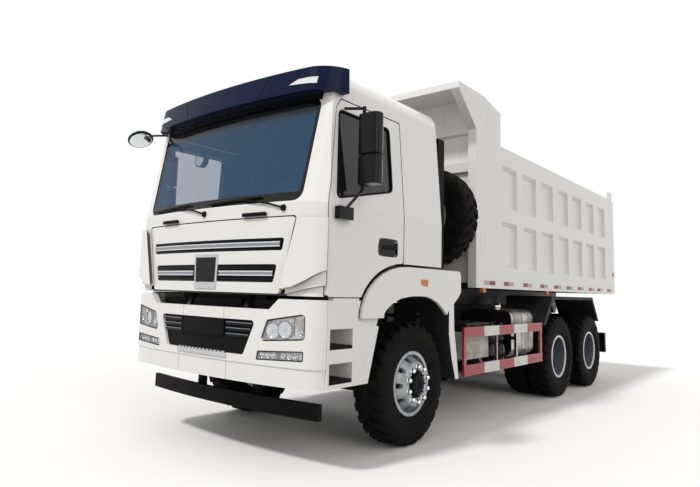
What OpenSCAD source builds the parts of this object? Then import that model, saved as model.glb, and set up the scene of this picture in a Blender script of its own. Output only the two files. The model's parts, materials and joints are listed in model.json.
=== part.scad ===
// Three-axle tipper truck with a tilting cab and a front-hoisted load bed.
// Millimetres. Forward is -Y, the truck's left is +X, the ground is z = 0.
// Inside truck() the zero of Y is the front axle; truck() then centres the
// whole length on the origin.

/* [Wheels] */
// Outer diameter of every tyre
tyre_od = 1125; // [1080:5:1160]
// Width of one tyre over its sidewalls
tyre_w = 310; // [290:2:320]
// Diameter of the rim flange
rim_d = 590; // [570:2:610]
// Distance between the two front wheel centres
front_track = 2060; // [2030:5:2080]
// Distance between the centres of the twin wheels
rear_track = 1830; // [1810:5:1840]
// Distance between the two tyres of a twin wheel
twin_pitch = 345; // [330:1:350]
// Front axle to first rear axle
wheelbase = 3775; // [3700:5:3850]
// First to second rear axle
tandem = 1390; // [1350:5:1420]
// Wheel centre to steering pivot
kingpin_inset = 160; // [150:5:175]

/* [Frame] */
// Width over the two frame rails
frame_w = 850; // [820:5:860]
// Height of a frame rail
rail_h = 290; // [260:5:300]
// Width of a rail's flanges
rail_flange = 85; // [70:1:90]
// Plate thickness of the rails
rail_t = 12; // [8:1:16]
// Top of the frame above the ground
frame_top = 1060; // [1040:5:1080]
// Front end of the rails, ahead of the front axle
rail_front = 1180; // [1100:10:1220]
// Rear end of the rails, behind the front axle
rail_rear = 6000; // [5950:10:6040]

/* [Cab] */
// Width of the cab over its doors
cab_w = 2490; // [2460:2:2500]
// Foremost face of the cab, ahead of the front axle
cab_front = 1530; // [1515:1:1535]
// Rear wall of the cab, behind the front axle
cab_rear = 380; // [340:5:390]
// Underside of the footwell
cab_bottom = 1350; // [1345:1:1360]
// Underside of the floor over the engine
cab_step = 1655; // [1650:1:1670]
// Height where the windshield and the side taper begin
belt_z = 2080; // [2060:5:2100]
// Height of the roof
roof_z = 3270; // [3220:5:3300]
// Width of the roof before its edges are rounded
roof_w = 2300; // [2240:5:2340]
// Rearward lean of the windshield
lean = 10.8; // [9:0.1:12]
// Radius of the bowed front in plan
bow_r = 7100; // [6000:100:9000]
// Radius of the front corners in plan
corner_r = 150; // [130:5:180]
// Thickness of the cab walls and doors
wall = 55; // [45:1:60]
// Shut gap round doors and lid
shut = 10; // [8:1:14]

/* [Bumper and steps] */
// Foremost face of the bumper, ahead of the front axle
bumper_front = 1545; // [1540:1:1560]
// Bottom of the bumper
bumper_low = 655; // [630:5:680]
// Top of the bumper's corners
bumper_high = 1325; // [1315:1:1327]
// Top of the bumper's middle
bumper_mid = 1240; // [1225:5:1250]
// Thickness of the bumper skin
skin = 60; // [40:2:70]
// Rear end of the bumper's sides, ahead of the front axle
bumper_end = 1320; // [1315:1:1325]

/* [Bed] */
// Width over the bed sides
bed_w = 2500; // [2480:5:2520]
// Front face of the headboard, behind the front axle
bed_front = 1195; // [1190:1:1210]
// Rear face of the bed sides, behind the front axle
bed_rear = 6560; // [6540:5:6600]
// Underside of the bed's bottom rail
bed_low = 1475; // [1470:1:1490]
// Top of the bed sides
bed_high = 3180; // [3100:5:3220]
// Thickness of the bed sides with their ribs
bed_wall = 100; // [90:2:110]
// Depth of the pressed panels
panel_depth = 45; // [30:1:55]
// Panels along one side
panels = 7; // [5:1:9]
// Top of the canopy over the cab
canopy_z = 3680; // [3620:5:3720]
// Front edge of the canopy, behind the front axle
canopy_front = 715; // [700:5:760]
// Rear face of the tailgate ears, behind the front axle
tail_end = 6690; // [6680:1:6700]

/* [Tipping gear] */
// Bed hinge behind the front axle
hinge_y = 5880; // [5860:5:5890]
// Bed hinge above the ground
hinge_z = 1200; // [1195:1:1205]
// Trunnion of the hoist above the bed hinge
trunnion_rise = 300; // [280:5:310]
// Hoist axis behind the front axle
hoist_y = 1020; // [1015:1:1030]
// Outer radius of the hoist tube
hoist_r = 100; // [90:1:105]
// Top of the closed hoist
hoist_top = 2750; // [2700:10:2800]

/* [Hidden] */
$fn = 48;

// Paints
white = "white";
black = [0.06, 0.06, 0.07];
grey = [0.35, 0.36, 0.38];
silver = [0.75, 0.76, 0.78];
red = [0.75, 0.10, 0.12];
navy = [0.05, 0.06, 0.12];
glass = [0.12, 0.16, 0.20, 0.6];

// Worked-out places
tyre_r = tyre_od / 2;
rim_r = rim_d / 2;
axle_z = tyre_r;
front_x = front_track / 2;
rear_x = rear_track / 2;
kingpin_x = front_x - kingpin_inset;
axle_2 = wheelbase;
axle_3 = wheelbase + tandem;
rail_x = frame_w / 2;
rail_low = frame_top - rail_h;
cab_x = cab_w / 2;
bed_x = bed_w / 2;
trunnion_z = hinge_z + trunnion_rise;
foot_z = hinge_z - trunnion_rise;
middle_y = (tail_end - bumper_front) / 2;
running = 0.3;
far = 3000;

// Placing helpers
module truck() translate([0, -middle_y, 0]) children();
module both_sides() {
  children();
  mirror([1, 0, 0]) children();
}
module box(low, high) translate(low) cube(high - low);
// A (y, z) outline drawn out along X, and an (x, z) outline along Y
module across(x0, x1) translate([x0, 0, 0]) rotate([90, 0, 90]) linear_extrude(x1 - x0) children();
module along(y0, y1) translate([0, y1, 0]) rotate([90, 0, 0]) linear_extrude(y1 - y0) children();
module rod(p, q, r) {
  v = q - p;
  translate(p) rotate([0, acos(v.z / norm(v)), atan2(v.y, v.x)]) cylinder(h = norm(v), r = r);
}
module axle_rod(x0, x1, r) translate([x0, 0, 0]) rotate([0, 90, 0]) cylinder(h = x1 - x0, r = r);

// Convex outline with true round corners
function unit(v) = v / norm(v);
function corner(p, i, r) =
  let(n = len(p), a = unit(p[(i + n - 1) % n] - p[i]), b = unit(p[(i + 1) % n] - p[i]),
      half = acos(a * b) / 2)
  [a, b, half, r / tan(half)];
module rounded(p, r) {
  n = len(p);
  radii = is_list(r) ? r : [for (i = [0 : n - 1]) r];
  c = [for (i = [0 : n - 1]) corner(p, i, radii[i])];
  polygon([for (i = [0 : n - 1])
    each radii[i] > 0 ? [p[i] + c[i][0] * c[i][3], p[i] + c[i][1] * c[i][3]] : [p[i]]]);
  for (i = [0 : n - 1])
    if (radii[i] > 0)
      translate(p[i] + unit(c[i][0] + c[i][1]) * radii[i] / sin(c[i][2])) circle(radii[i]);
}
// The same with each corner as a few short chords, for cut lines and small pieces
chords = 6;
function soft_points(p, r) = let(n = len(p)) [for (i = [0 : n - 1])
  let(r_i = is_list(r) ? r[i] : r, c = corner(p, i, r_i),
      mid = p[i] + unit(c[0] + c[1]) * r_i / sin(c[2]), from = p[i] + c[0] * c[3] - mid,
      a0 = atan2(from.y, from.x), turn = 180 - 2 * c[2])
  each r_i > 0
    ? [for (k = [0 : chords]) mid + r_i * [cos(a0 + turn * k / chords), sin(a0 + turn * k / chords)]]
    : [p[i]]];
module soft(p, r) polygon(soft_points(p, r));
function rect(a, b) = [a, [b.x, a.y], b, [a.x, b.y]];
// The same outline moved outward by g, its corners kept sharp
function grown(p, g) = let(n = len(p)) [for (i = [0 : n - 1])
  let(a = unit(p[i] - p[(i + n - 1) % n]), b = unit(p[(i + 1) % n] - p[i]))
  p[i] + g * ([a.y, -a.x] + [b.y, -b.x]) / (1 + a * b)];
function mirrored(p) = concat(p, [for (i = [len(p) - 1 : -1 : 0]) [-p[i].x, p[i].y]]);

// Bowed plan with round front corners: half width w, front at y = -front
module bowed_plan(w, front, r, bow, back) {
  corner_y = -front + bow - sqrt(pow(bow - r, 2) - pow(w - r, 2));
  meet_x = (w - r) * bow / (bow - r);
  intersection() {
    translate([0, bow - front]) circle(bow, $fn = 360);
    translate([-meet_x, -front - 1]) square([2 * meet_x, front + back + 1]);
  }
  for (s = [-1, 1])
    translate([s * (w - r), corner_y]) circle(r);
  translate([-w, corner_y]) square([2 * w, back - corner_y]);
}

// Strip of the bowed front between depths t0 and t1, half width w
module bow_strip(w, front, t0, t1) intersection() {
  translate([0, bow_r - front]) difference() {
    circle(bow_r - t0, $fn = 360);
    circle(bow_r - t1, $fn = 360);
  }
  translate([-w, -front - 1]) square([2 * w, 400]);
}

// Frame of the leaning windshield, hinged on the belt line just behind the front
belt_ledge = 3;
module leaning() translate([0, belt_ledge - cab_front, belt_z]) rotate([-lean, 0, 0])
  translate([0, cab_front, 0]) children();

// Cab surface moved in by t; the walls, doors, lid and glass are all cut from it
module cab_form(t) {
  roof_edge = 210;
  rear_edge = 90;
  side = [[-cab_x + t, 1000], [cab_x - t, 1000], [cab_x - t, belt_z],
          [roof_w / 2 - t, roof_z - t], [t - roof_w / 2, roof_z - t], [t - cab_x, belt_z]];
  intersection() {
    union() {
      translate([0, 0, 1000]) linear_extrude(belt_z - 1000)
        bowed_plan(cab_x - t, cab_front - t, corner_r - t, bow_r - t, far);
      intersection() {
        leaning() translate([0, 0, -400]) linear_extrude(2000)
          bowed_plan(cab_x - t, cab_front - t, corner_r - t, bow_r - t, far);
        box([-far, -far, belt_z], [far, far, 2 * far]);
      }
    }
    across(-far, far)
      rounded([[-far, 1000], [cab_rear - t, 1000], [cab_rear - t, roof_z - t], [-far, roof_z - t]],
              [0, 0, rear_edge - t / 2, 0]);
    along(-far, far) rounded(side, [0, 0, 0, roof_edge - t, roof_edge - t, 0]);
  }
}
module cab_skin(outer, inner) difference() {
  cab_form(outer);
  cab_form(inner);
}

// Outlines on the cab: door and window in (y, z), lid and windshield in (x, z)
door_front = 1335;
door_rear = 300;
// Crown of the front fender, a quarter ellipse that the door's sill follows at a gap
arch_gap = 24;
crown = [-260, 1180];
crown_a = 670;
crown_b = cab_step - arch_gap - crown.y;
crown_steps = 8;
function crown_at(g, u) = crown + [-(crown_a + g) * cos(u), (crown_b + g) * sin(u)];
// The arc moved out by g, from height z back to y
function crown_arc(g, z, y) =
  let(u0 = asin((z - crown.y) / (crown_b + g)), u1 = acos((crown.x - y) / (crown_a + g)))
  [for (k = [0 : crown_steps]) crown_at(g, u0 + (u1 - u0) * k / crown_steps)];
sill = crown_arc(arch_gap + 5, cab_bottom, -door_rear);
door_line = concat([[-door_front, cab_bottom]], sill,
                   [[-door_rear, 2965], [-1150, 2965], [-1210, 2880], [-door_front, belt_z]]);
door_r = concat([30, 30], [for (k = [1 : crown_steps - 1]) 0], [30, 30, 30, 30, 30]);
window_line = [[-1245, 2130], [-470, 2290], [-475, 2870], [-1180, 2870]];
lid_line = [[-860, 1365], [860, 1365], [1003, 1972], [-1003, 1972]];
screen_line = [[-1045, 2100], [1045, 2100], [1085, 2975], [-1085, 2975]];
handle_line = rect([-650, 1705], [-390, 1865]);
tilt_axis = [-1420, 1190];

module cab_cavity() {
  floor_low = cab_bottom + wall;
  floor_high = cab_step + wall;
  firewall = -1335;
  cowl = 2035;
  intersection() {
    cab_form(wall);
    union() {
      box([-far, -far, cowl], [far, far, 5000]);
      box([-far, firewall, floor_high], [far, far, cowl + 1]);
      across(-far, far)
        polygon(concat([[firewall, floor_low]], crown_arc(arch_gap + wall, floor_low, -door_rear - 10),
                       [[-door_rear - 10, floor_high + 1], [firewall, floor_high + 1]]));
    }
  }
}

// Air vane that stands off the front corner on three webs
module corner_wrap(t, low, high) translate([0, 0, low]) linear_extrude(high - low)
  bowed_plan(cab_x - t, cab_front - t, corner_r - t, bow_r - t, -900);
module corner_vane() {
  stand = 24;
  sheet = 12;
  web_t = 14;
  low = 1390;
  high = 1960;
  outline = [[890, 1405], [1010, 1420], [1150, 1480], [1320, 1590], [1320, high - 5], [1047, high - 5]];
  intersection() {
    difference() {
      corner_wrap(-stand - sheet, low, high);
      corner_wrap(-stand, low - 1, high + 1);
    }
    along(-far, -1370) polygon(outline);
  }
  for (z = [1560, 1690, 1820])
    intersection() {
      difference() {
        corner_wrap(-stand - 1, z, z + web_t);
        corner_wrap(5, z - 1, z + web_t + 1);
      }
      along(-far, -1390) polygon([for (q = outline) q + [q.x < 1200 ? 45 : 0, 0]]);
    }
}

module cab_shell() color(white) truck() {
  arm_x = 400;
  arm_w = 50;
  difference() {
    cab_form(0);
    cab_cavity();
    translate([-far, -far, 0]) cube([2 * far, 2 * far, cab_bottom]);
    across(-far, far)
      polygon(concat(crown_arc(arch_gap, cab_bottom - 1, crown.x), [[far, cab_step], [far, 0], [crown.x, 0]]));
    both_sides() side_cut() soft(grown(door_line, shut), door_r);
    along(-far, -1380) soft(grown(lid_line, shut), 25);
    box([-920, -far, cab_bottom - 1], [920, -1380, 1400]);
    along(-far, -1000) soft(grown(screen_line, running), 90);
    // Rebate under the crease that runs from the lid up to the door
    both_sides() difference() {
      along(-far, -1200) polygon([[900, 1300], [1300, 1300], [1300, 1452], [900, 1358]]);
      cab_form(25);
    }
  }
  both_sides() corner_vane();
  // Hinge arms under the firewall
  for (s = [-1, 1]) translate([s * arm_x, 0, 0]) {
    across(-arm_w / 2, arm_w / 2)
      polygon([[tilt_axis.x - 10, tilt_axis.y], [-1358, cab_bottom + 1], [-1320, cab_bottom + 1],
               [tilt_axis.x + 35, tilt_axis.y]]);
    translate([0, tilt_axis.x, tilt_axis.y]) axle_rod(-arm_w / 2, arm_w / 2, 45);
    translate([0, tilt_axis.x, tilt_axis.y]) axle_rod(-arm_w / 2 - 40, arm_w / 2 + 40, 25);
  }
}

module windshield() color(glass) truck() intersection() {
  leaning() linear_extrude(1200) bow_strip(1150, cab_front, 6, 14);
  along(-far, -1000) soft(screen_line, 90);
}

// Doors, their glass and mirrors are drawn on the left and mirrored
module side_cut() across(900, 1500) children();
module door() difference() {
  intersection() {
    cab_skin(0, wall);
    side_cut() soft(door_line, door_r);
  }
  side_cut() soft(grown(window_line, running), 45);
  translate([cab_x - 20, 0, 0]) across(0, 30) soft(handle_line, 40);
}
module right_hand() mirror([1, 0, 0]) children();
module door_left() color(white) truck() door();
module door_right() color(white) truck() right_hand() door();
function taper_x(z) = cab_x - (z - belt_z) * (cab_x - roof_w / 2) / (roof_z - belt_z);
module door_glass() {
  pane = [12, 18];
  z0 = belt_z + 20;
  z1 = 2920;
  intersection() {
    along(-far, far) polygon([[taper_x(z0) - pane[0], z0], [taper_x(z1) - pane[0], z1],
                              [taper_x(z1) - pane[1], z1], [taper_x(z0) - pane[1], z0]]);
    side_cut() soft(window_line, 45);
  }
}
module door_glass_left() color(glass) truck() door_glass();
module door_glass_right() color(glass) truck() right_hand() door_glass();

// Two mirror heads on arms from the door's front edge
module mirror_set() {
  head_x = [1300, 1500];
  head_y = [-1095, -975];
  heads = [[2500, 2830], [2250, 2480]];
  stem = [1330, -1035, 0];
  pad = [[cab_x + running, -1275, 1960], [1300, -1105, 2060]];
  top_pad_z = 2890;
  for (z = heads)
    translate([0, 0, z[0]]) linear_extrude(z[1] - z[0])
      rounded(rect([head_x[0], head_y[0]], [head_x[1], head_y[1]]), 45);
  rod(stem + [0, 0, 2200], stem + [0, 0, top_pad_z + 16], 16);
  rod([taper_x(top_pad_z) + 14, -1130, top_pad_z], stem + [0, 0, top_pad_z], 12);
  rod([1272, -1190, 2030], stem + [0, 0, 2215], 12);
  box(pad[0], pad[1]);
}
module mirror_left() color(black) truck() mirror_set();
module mirror_right() color(black) truck() right_hand() {
  mirror_set();
  // Kerb mirror over the window
  rod([taper_x(2925) + 1, -650, 2925], [1340, -650, 2925], 10);
  translate([1340, -620, 2870]) rotate([90, 0, 0]) cylinder(h = 60, r = 90);
}

module sun_visor() color(navy) truck() {
  visor_low = 3005;
  visor_high = 3215;
  reach = 125;
  difference() {
    intersection() {
      leaning() linear_extrude(1500) bowed_plan(cab_x, cab_front + reach, 300, bow_r, -900);
      box([-far, -far, visor_low], [far, -1130, visor_high]);
    }
    cab_form(-running);
  }
}

// Depth of the cab's front at (x, z)
function front_y(x, z) =
  bow_r - cab_front - sqrt(bow_r * bow_r - x * x) + (z > belt_z ? belt_ledge + (z - belt_z) * tan(lean) : 0);
function on_front(x, z, proud) = [x, front_y(x, z) - proud, z];

// Wipers, grab handles above the lid and the round front mirror
module cab_trim() color(black) truck() {
  wiper_x = [-60, 880];
  wiper_z = 2046;
  handle_z = 2003;
  for (x = [-587, 587]) {
    y = front_y(abs(x) - 130, handle_z);
    box([x - 130, y - 27, handle_z - 16], [x + 130, y - 15, handle_z + 16]);
    for (e = [-110, 110])
      box([x + e - 12, y - 16, handle_z - 10],
          [x + e + 12, front_y(abs(x + e) - 14, handle_z) - running, handle_z + 10]);
  }
  for (x = wiper_x) {
    knee = on_front(x - 140, wiper_z + 40, 14);
    rod(on_front(x, wiper_z, 2), on_front(x, wiper_z, 14), 17);
    rod(on_front(x, wiper_z, 8), knee, 6);
    rod(on_front(x - 132, wiper_z + 38, 14), on_front(x - 480, wiper_z + 94, 17), 5);
    rod(on_front(x - 880, wiper_z + 78, 15), on_front(x - 250, wiper_z + 103, 15), 6.5);
  }
  // Round front mirror on its arm
  rod([-1150, -1290, 2985], [-1250, -1420, 2930], 12);
  translate([-1290, -1440, 2890]) rotate([90, 0, 20]) cylinder(h = 60, r = 110);
}

// Dashboard, steering wheel and two seats
module cab_interior() color(grey) truck() {
  dash = [[-1330, 1720], [-1010, 1720], [-1010, 1960], [-1100, 2080], [-1330, 2060]];
  seat_x = 560;
  seat_w = 520;
  floor_z = cab_step + wall;
  across(-1120, 1120) polygon(dash);
  translate([seat_x, -930, 2090]) rotate([-60, 0, 0]) {
    rotate_extrude() translate([215, 0]) circle(17);
    box([-205, -18, -8], [205, 18, 8]);
    cylinder(h = 12, r = 60, center = true);
  }
  rod([seat_x, -930, 2090], [seat_x, -1040, 1980], 28);
  for (s = [-1, 1]) translate([s * seat_x, 0, 0]) {
    box([-180, -480, floor_z], [180, -120, floor_z + 170]);
    across(-seat_w / 2, seat_w / 2)
      rounded([[-600, floor_z + 170], [-60, floor_z + 150], [-60, floor_z + 280], [-600, floor_z + 320]], 50);
    across(-seat_w / 2, seat_w / 2)
      rounded([[-110, floor_z + 290], [30, floor_z + 290], [150, floor_z + 1010], [50, floor_z + 1020]], 45);
  }
}

// Front lid: two grille openings under a hinge line
upper_grille = [[-880, 1707], [880, 1707], [900, 1807], [-900, 1807]];
lower_grille = [[-800, 1452], [800, 1452], [834, 1597], [-834, 1597]];
module front_lid() color(white) truck() {
  difference() {
    intersection() {
      translate([0, 0, 1200]) linear_extrude(900) bow_strip(1100, cab_front, 0, 28);
      along(-far, -1000) soft(lid_line, 25);
    }
    for (g = [upper_grille, lower_grille])
      along(-far, -1000) soft(grown(g, running), 20);
  }
}
module grille() color(black) truck() {
  for (g = [upper_grille, lower_grille])
    intersection() {
      translate([0, 0, 1200]) linear_extrude(900) bow_strip(1100, cab_front, 14, 27);
      along(-far, -1000) soft(g, 20);
    }
}

// Frame
module rail_section() difference() {
  square([rail_flange, rail_h]);
  translate([-1, rail_t]) square([rail_flange - rail_t + 1, rail_h - 2 * rail_t]);
}
cross_y = [-1120, 700, 1750, 2950, 4470, 5640, 5930];
tow_y = 6040;
tow_r = 25;
module frame_rails() color(grey) truck() {
  both_sides() translate([rail_x - rail_flange, 0, rail_low])
    along(-rail_front, rail_rear) rail_section();
  inner = rail_x - rail_t;
  for (y = cross_y) difference() {
    box([-inner, y - 50, rail_low + 40], [inner, y + 50, frame_top - 40]);
    box([-inner - 1, y - 51, rail_low + 55], [inner + 1, y + 38, frame_top - 55]);
  }
  // Towing eye on the last cross member
  difference() {
    box([-70, cross_y[6] + 49, 870], [70, tow_y + 50, 910]);
    translate([0, tow_y, 860]) cylinder(h = 60, r = tow_r);
  }
  // Brackets that carry the cab's front hinge
  for (s = [-1, 1], e = [-1, 1])
    difference() {
      across(s * 400 + e * 45 - 12, s * 400 + e * 45 + 12)
        polygon([[tilt_axis.x - 50, tilt_axis.y - 50], [tilt_axis.x + 50, tilt_axis.y - 60],
                 [-rail_front + 40, rail_low + 60], [-rail_front + 40, frame_top],
                 [-rail_front - 60, frame_top + 40], [tilt_axis.x + 40, tilt_axis.y + 45],
                 [tilt_axis.x - 45, tilt_axis.y + 45]]);
      translate([s * 400, tilt_axis.x, tilt_axis.y]) axle_rod(-100, 100, 25.2);
    }
}

sub_high = 1258;
module bed_subframe() color(grey) truck() {
  sub_front = 1240;
  sub_rear = 5700;
  pin_r = 35;
  both_sides() {
    box([rail_x - 80, sub_front, frame_top], [rail_x, sub_rear, sub_high]);
    // Hinge bracket inside the bed's lug
    difference() {
      across(rail_x - 125, rail_x - 90)
        rounded([[hinge_y - 170, frame_top], [hinge_y + 110, frame_top],
                 [hinge_y + 80, hinge_z + 75], [hinge_y - 80, hinge_z + 75]], [0, 0, 60, 60]);
      translate([0, hinge_y, hinge_z]) axle_rod(0, rail_x, pin_r + running);
    }
    box([rail_x - 125, hinge_y - 170, frame_top], [rail_x, hinge_y + 110, frame_top + 14]);
  }
  for (y = [1300, 2700, 4100, 5600])
    box([-rail_x + 80, y - 40, frame_top + 10], [rail_x - 80, y + 40, sub_high - 20]);
  // Seat of the hoist's foot
  foot_gap = 70;
  seat_x = rail_x - rail_t - running;
  difference() {
    union() {
      box([-seat_x, hoist_y - 110, foot_z - 112], [seat_x, hoist_y + 110, foot_z - 62]);
      for (s = [-1, 1])
        across(s * foot_gap - 10 + s * 10, s * foot_gap + 10 + s * 10)
          polygon([[hoist_y - 90, foot_z - 63], [hoist_y + 90, foot_z - 63], [hoist_y + 60, foot_z + 30],
                   [hoist_y + 35, foot_z + 58], [hoist_y - 35, foot_z + 58], [hoist_y - 60, foot_z + 30]]);
    }
    translate([0, hoist_y, foot_z]) axle_rod(-200, 200, 30);
  }
}

// Axles and springs
module front_axle() color(grey) truck() {
  boss_h = 130;
  beam_low = 420;
  difference() {
    union() {
      along(-50, 50) polygon(mirrored([[560, beam_low], [720, axle_z - 60], [kingpin_x, axle_z - 50],
                                       [kingpin_x, axle_z + 40], [700, axle_z + 40],
                                       [540, beam_low + 120]]));
      for (s = [-1, 1])
        translate([s * kingpin_x, 0, axle_z - boss_h / 2]) cylinder(h = boss_h, r = 50);
    }
    for (s = [-1, 1])
      translate([s * kingpin_x, 0, 0]) cylinder(h = 2 * axle_z, r = 25 + running);
    for (s = [-1, 1])
      box([-500, s * 30 - 21, beam_low + 22], [500, s * 30 + 21, beam_low + 98]);
  }
}
shaft_z = 680;
pinion_l = 330;
bowl_r = 215;
// The shaft between the axles starts just behind the bowl
bowl_back = bowl_r + 1;
module rear_axles() color(grey) truck() {
  tube_r = 75;
  stub_r = 45;
  tube_end = rear_x - 60;
  stub_end = rear_x + 55;
  half = [[0, stub_end], [stub_r, stub_end], [stub_r, tube_end], [tube_r, tube_end], [tube_r, 290], [bowl_r, 110]];
  for (y = [axle_2, axle_3]) translate([0, y, axle_z]) {
    rotate([0, 90, 0]) rotate_extrude()
      polygon(concat(half, [for (i = [len(half) - 1 : -1 : 0]) [half[i].x, -half[i].y]]));
    translate([0, 0, shaft_z - axle_z]) rotate([90, 0, 0])
      rotate_extrude() polygon([[0, 0], [90, 0], [70, pinion_l], [0, pinion_l]]);
  }
}
module prop_shafts() color(black) truck() {
  flange_r = 75;
  for (s = [[870, axle_2 - pinion_l, 55], [axle_2 + bowl_back, axle_3 - pinion_l, 50]])
    translate([0, s[0] + running, shaft_z]) rotate([-90, 0, 0]) {
      length = s[1] - s[0] - 2 * running;
      cylinder(h = length, r = s[2]);
      cylinder(h = 30, r = flange_r);
      translate([0, 0, length - 30]) cylinder(h = 30, r = flange_r);
    }
}
// Leaf pack: each leaf shorter than the one before; ends lie higher by rise (lower if negative)
module leaf_pack(y, half, z_mid, rise, leaves, t, x0, x1) {
  s = sign(rise);
  bend = (half * half + rise * rise) / (2 * abs(rise));
  across(x0, x1)
    for (i = [0 : leaves - 1]) {
      reach = half * (1 - 0.14 * i);
      top = bend + t * i;
      intersection() {
        translate([y, z_mid + s * bend]) difference() {
          circle(top + t, $fn = 240);
          circle(top, $fn = 240);
        }
        translate([y - reach, s > 0 ? z_mid - t * leaves - 1 : z_mid - abs(rise)])
          square([2 * reach, abs(rise) + t * leaves + 1]);
      }
    }
}
tandem_mid = (axle_2 + axle_3) / 2;
module leaf_springs() color(black) truck() {
  leaf_t = 22;
  spring_w = 85;
  front_in = rail_x - rail_flange;
  front_half = 760;
  front_mid = 625;
  front_rise = 115;
  tyre_room = 47.5;
  rear_in = rear_x - twin_pitch / 2 - tyre_w / 2 - tyre_room - spring_w;
  rear_mid = 770;
  trunnion = [tandem_mid, 610];
  both_sides() {
    leaf_pack(0, front_half, front_mid, front_rise, 3, leaf_t, front_in, front_in + spring_w);
    box([front_in, -70, 540 + running], [front_in + spring_w, 70, front_mid - 2 * leaf_t]);
    for (y = [-front_half + 30, front_half - 30])
      box([front_in + 8, y - 35, front_mid + front_rise - 40], [front_in + spring_w - 8, y + 35, rail_low]);
    leaf_pack(tandem_mid, tandem / 2 + 70, rear_mid - 3 * leaf_t, -55, 3, leaf_t, rear_in, rear_in + spring_w);
    // Saddle on the tandem's trunnion, its bracket and the axle pads
    translate([0, trunnion.x, trunnion.y]) axle_rod(rail_x - 100, rear_in + spring_w, 60);
    box([rear_in, tandem_mid - 90, trunnion.y], [rear_in + spring_w, tandem_mid + 90, rear_mid - 3 * leaf_t + 5]);
    across(rail_x - rail_flange, rail_x - 5)
      polygon([[tandem_mid - 190, rail_low], [tandem_mid - 70, trunnion.y - 60],
               [tandem_mid + 70, trunnion.y - 60], [tandem_mid + 190, rail_low]]);
    for (y = [axle_2, axle_3])
      box([rear_in, y - 60, axle_z + 75 + running], [rear_in + spring_w, y + 60, rear_mid - 3 * leaf_t - 48]);
  }
}

module engine() color(grey) truck() {
  half = 300;
  box([-half, -900, 640], [half, 250, 1310]);
  box([-half + 40, -540, 1309], [half - 40, 200, 1500]);
  box([-half - 20, -1060, 720], [half + 20, -960, 1320]);
  box([-150, -961, 900], [150, -899, 1200]);
  box([-220, 249, 620], [220, 640, 1020]);
  box([-160, 639, 630], [160, 870, 800]);
  for (s = [-1, 1])
    box([s * 340 - 41, -420, 800], [s * 340 + 41, -320, 880]);
}

// Chassis fittings
module fuel_tank() color(silver) truck() {
  tank = rect([2320, 640], [3040, 1215]);
  strap_y = [2460, 2680, 2900];
  outline = rect([520, 640], [1130, 1215]);
  along(tank[0].x, tank[1].x) rounded(outline, 110);
  for (y = strap_y)
    along(y - 25, y + 25) rounded(grown(outline, 8), 118);
  translate([900, 2400, 1210]) cylinder(h = 45, r = 50);
  for (y = [2460, 2900])
    box([rail_x, y - 30, rail_low + 40], [530, y + 30, rail_low + 140]);
}
module battery_box() color(grey) truck() {
  low = [620, 1160, 690];
  high = [1120, 1700, 1060];
  box(low, high);
  translate([0, 0, high.z]) linear_extrude(25)
    rounded(rect([low.x - 10, low.y - 10], [high.x + 10, high.y + 10]), 20);
  for (y = [1260, 1600])
    box([rail_x, y - 30, rail_low + 40], [low.x + 5, y + 30, rail_low + 140]);
}
module air_tanks() color(black) truck() {
  tank_r = 120;
  for (y = [1875, 2125])
    for (z = [712, 952]) translate([0, y, z]) axle_rod(560, 1080, tank_r - 0.5);
  for (z = [790, 940]) box([rail_x, 1840, z - 20], [570, 2160, z + 20]);
  // Silencer on the right
  translate([-820, 1100, 800]) rotate([-90, 0, 0]) cylinder(h = 580, r = 255);
  for (y = [1200, 1580]) box([-570, y - 30, rail_low + 20], [-rail_x, y + 30, rail_low + 120]);
  // Tool box behind it
  box([-1120, 2340, 690], [-640, 3020, 1080]);
  for (y = [2450, 2900]) box([-650, y - 30, rail_low + 20], [-rail_x, y + 30, rail_low + 120]);
}

guard_x = 1250;
module side_guards() color(red) truck() {
  y0 = 865;
  y1 = 3050;
  rails = [[552, 660], [948, 1054]];
  depth = 30;
  both_sides() {
    for (z = rails) difference() {
      box([guard_x - depth, y0, z[0]], [guard_x, y1, z[1]]);
      for (g = [1 : 3])
        box([guard_x - 6, y0 - 1, z[0] + g * (z[1] - z[0]) / 4 - 6],
            [guard_x + 1, y1 + 1, z[0] + g * (z[1] - z[0]) / 4 + 6]);
    }
    for (y = [y0, y1 - 60])
      box([guard_x - depth, y, rails[0][0]], [guard_x - 6, y + 60, rails[1][1]]);
    for (y = [1726, 2284]) {
      box([guard_x - depth - 30, y - 15, rails[0][0]], [guard_x - depth + 1, y + 15, rails[1][1]]);
      box([rail_x, y - 15, 860], [guard_x - depth - 29, y + 15, 900]);
    }
  }
}

fender_in = 620;
fender_out = 1250;
module rear_fenders() color(grey) truck() {
  t = 14;
  rise = 45;
  top = 1405;
  low = 1015;
  front = [3105, 3455];
  back = [axle_3 + 110, axle_3 + 430];
  outer = [[front[0], low], [front[1], top], [back[0], top], [back[1], low]];
  inner = [[front[0] + t * 1.3, low], [front[1] + t * 0.4, top - t], [back[0] - t * 0.4, top - t],
           [back[1] - t * 1.3, low]];
  both_sides() {
    across(fender_in, fender_out)
      polygon(concat(outer, [for (i = [3 : -1 : 0]) inner[i]]));
    // Outer lip
    across(fender_out - t, fender_out)
      difference() {
        polygon(outer);
        polygon([[front[0] + 75, low - 1], [front[1] + 30, top - rise], [back[0] - 30, top - rise],
                 [back[1] - 65, low - 1]]);
      }
    for (y = [front[1] + 120, tandem_mid, back[0] - 120]) {
      box([rail_x, y - 20, 1000], [565, y + 20, 1040]);
      box([530, y - 20, 1001], [565, y + 20, top - t]);
      box([530, y - 20, top - t - 30], [fender_in + 60, y + 20, top - t + 1]);
    }
  }
}

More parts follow.
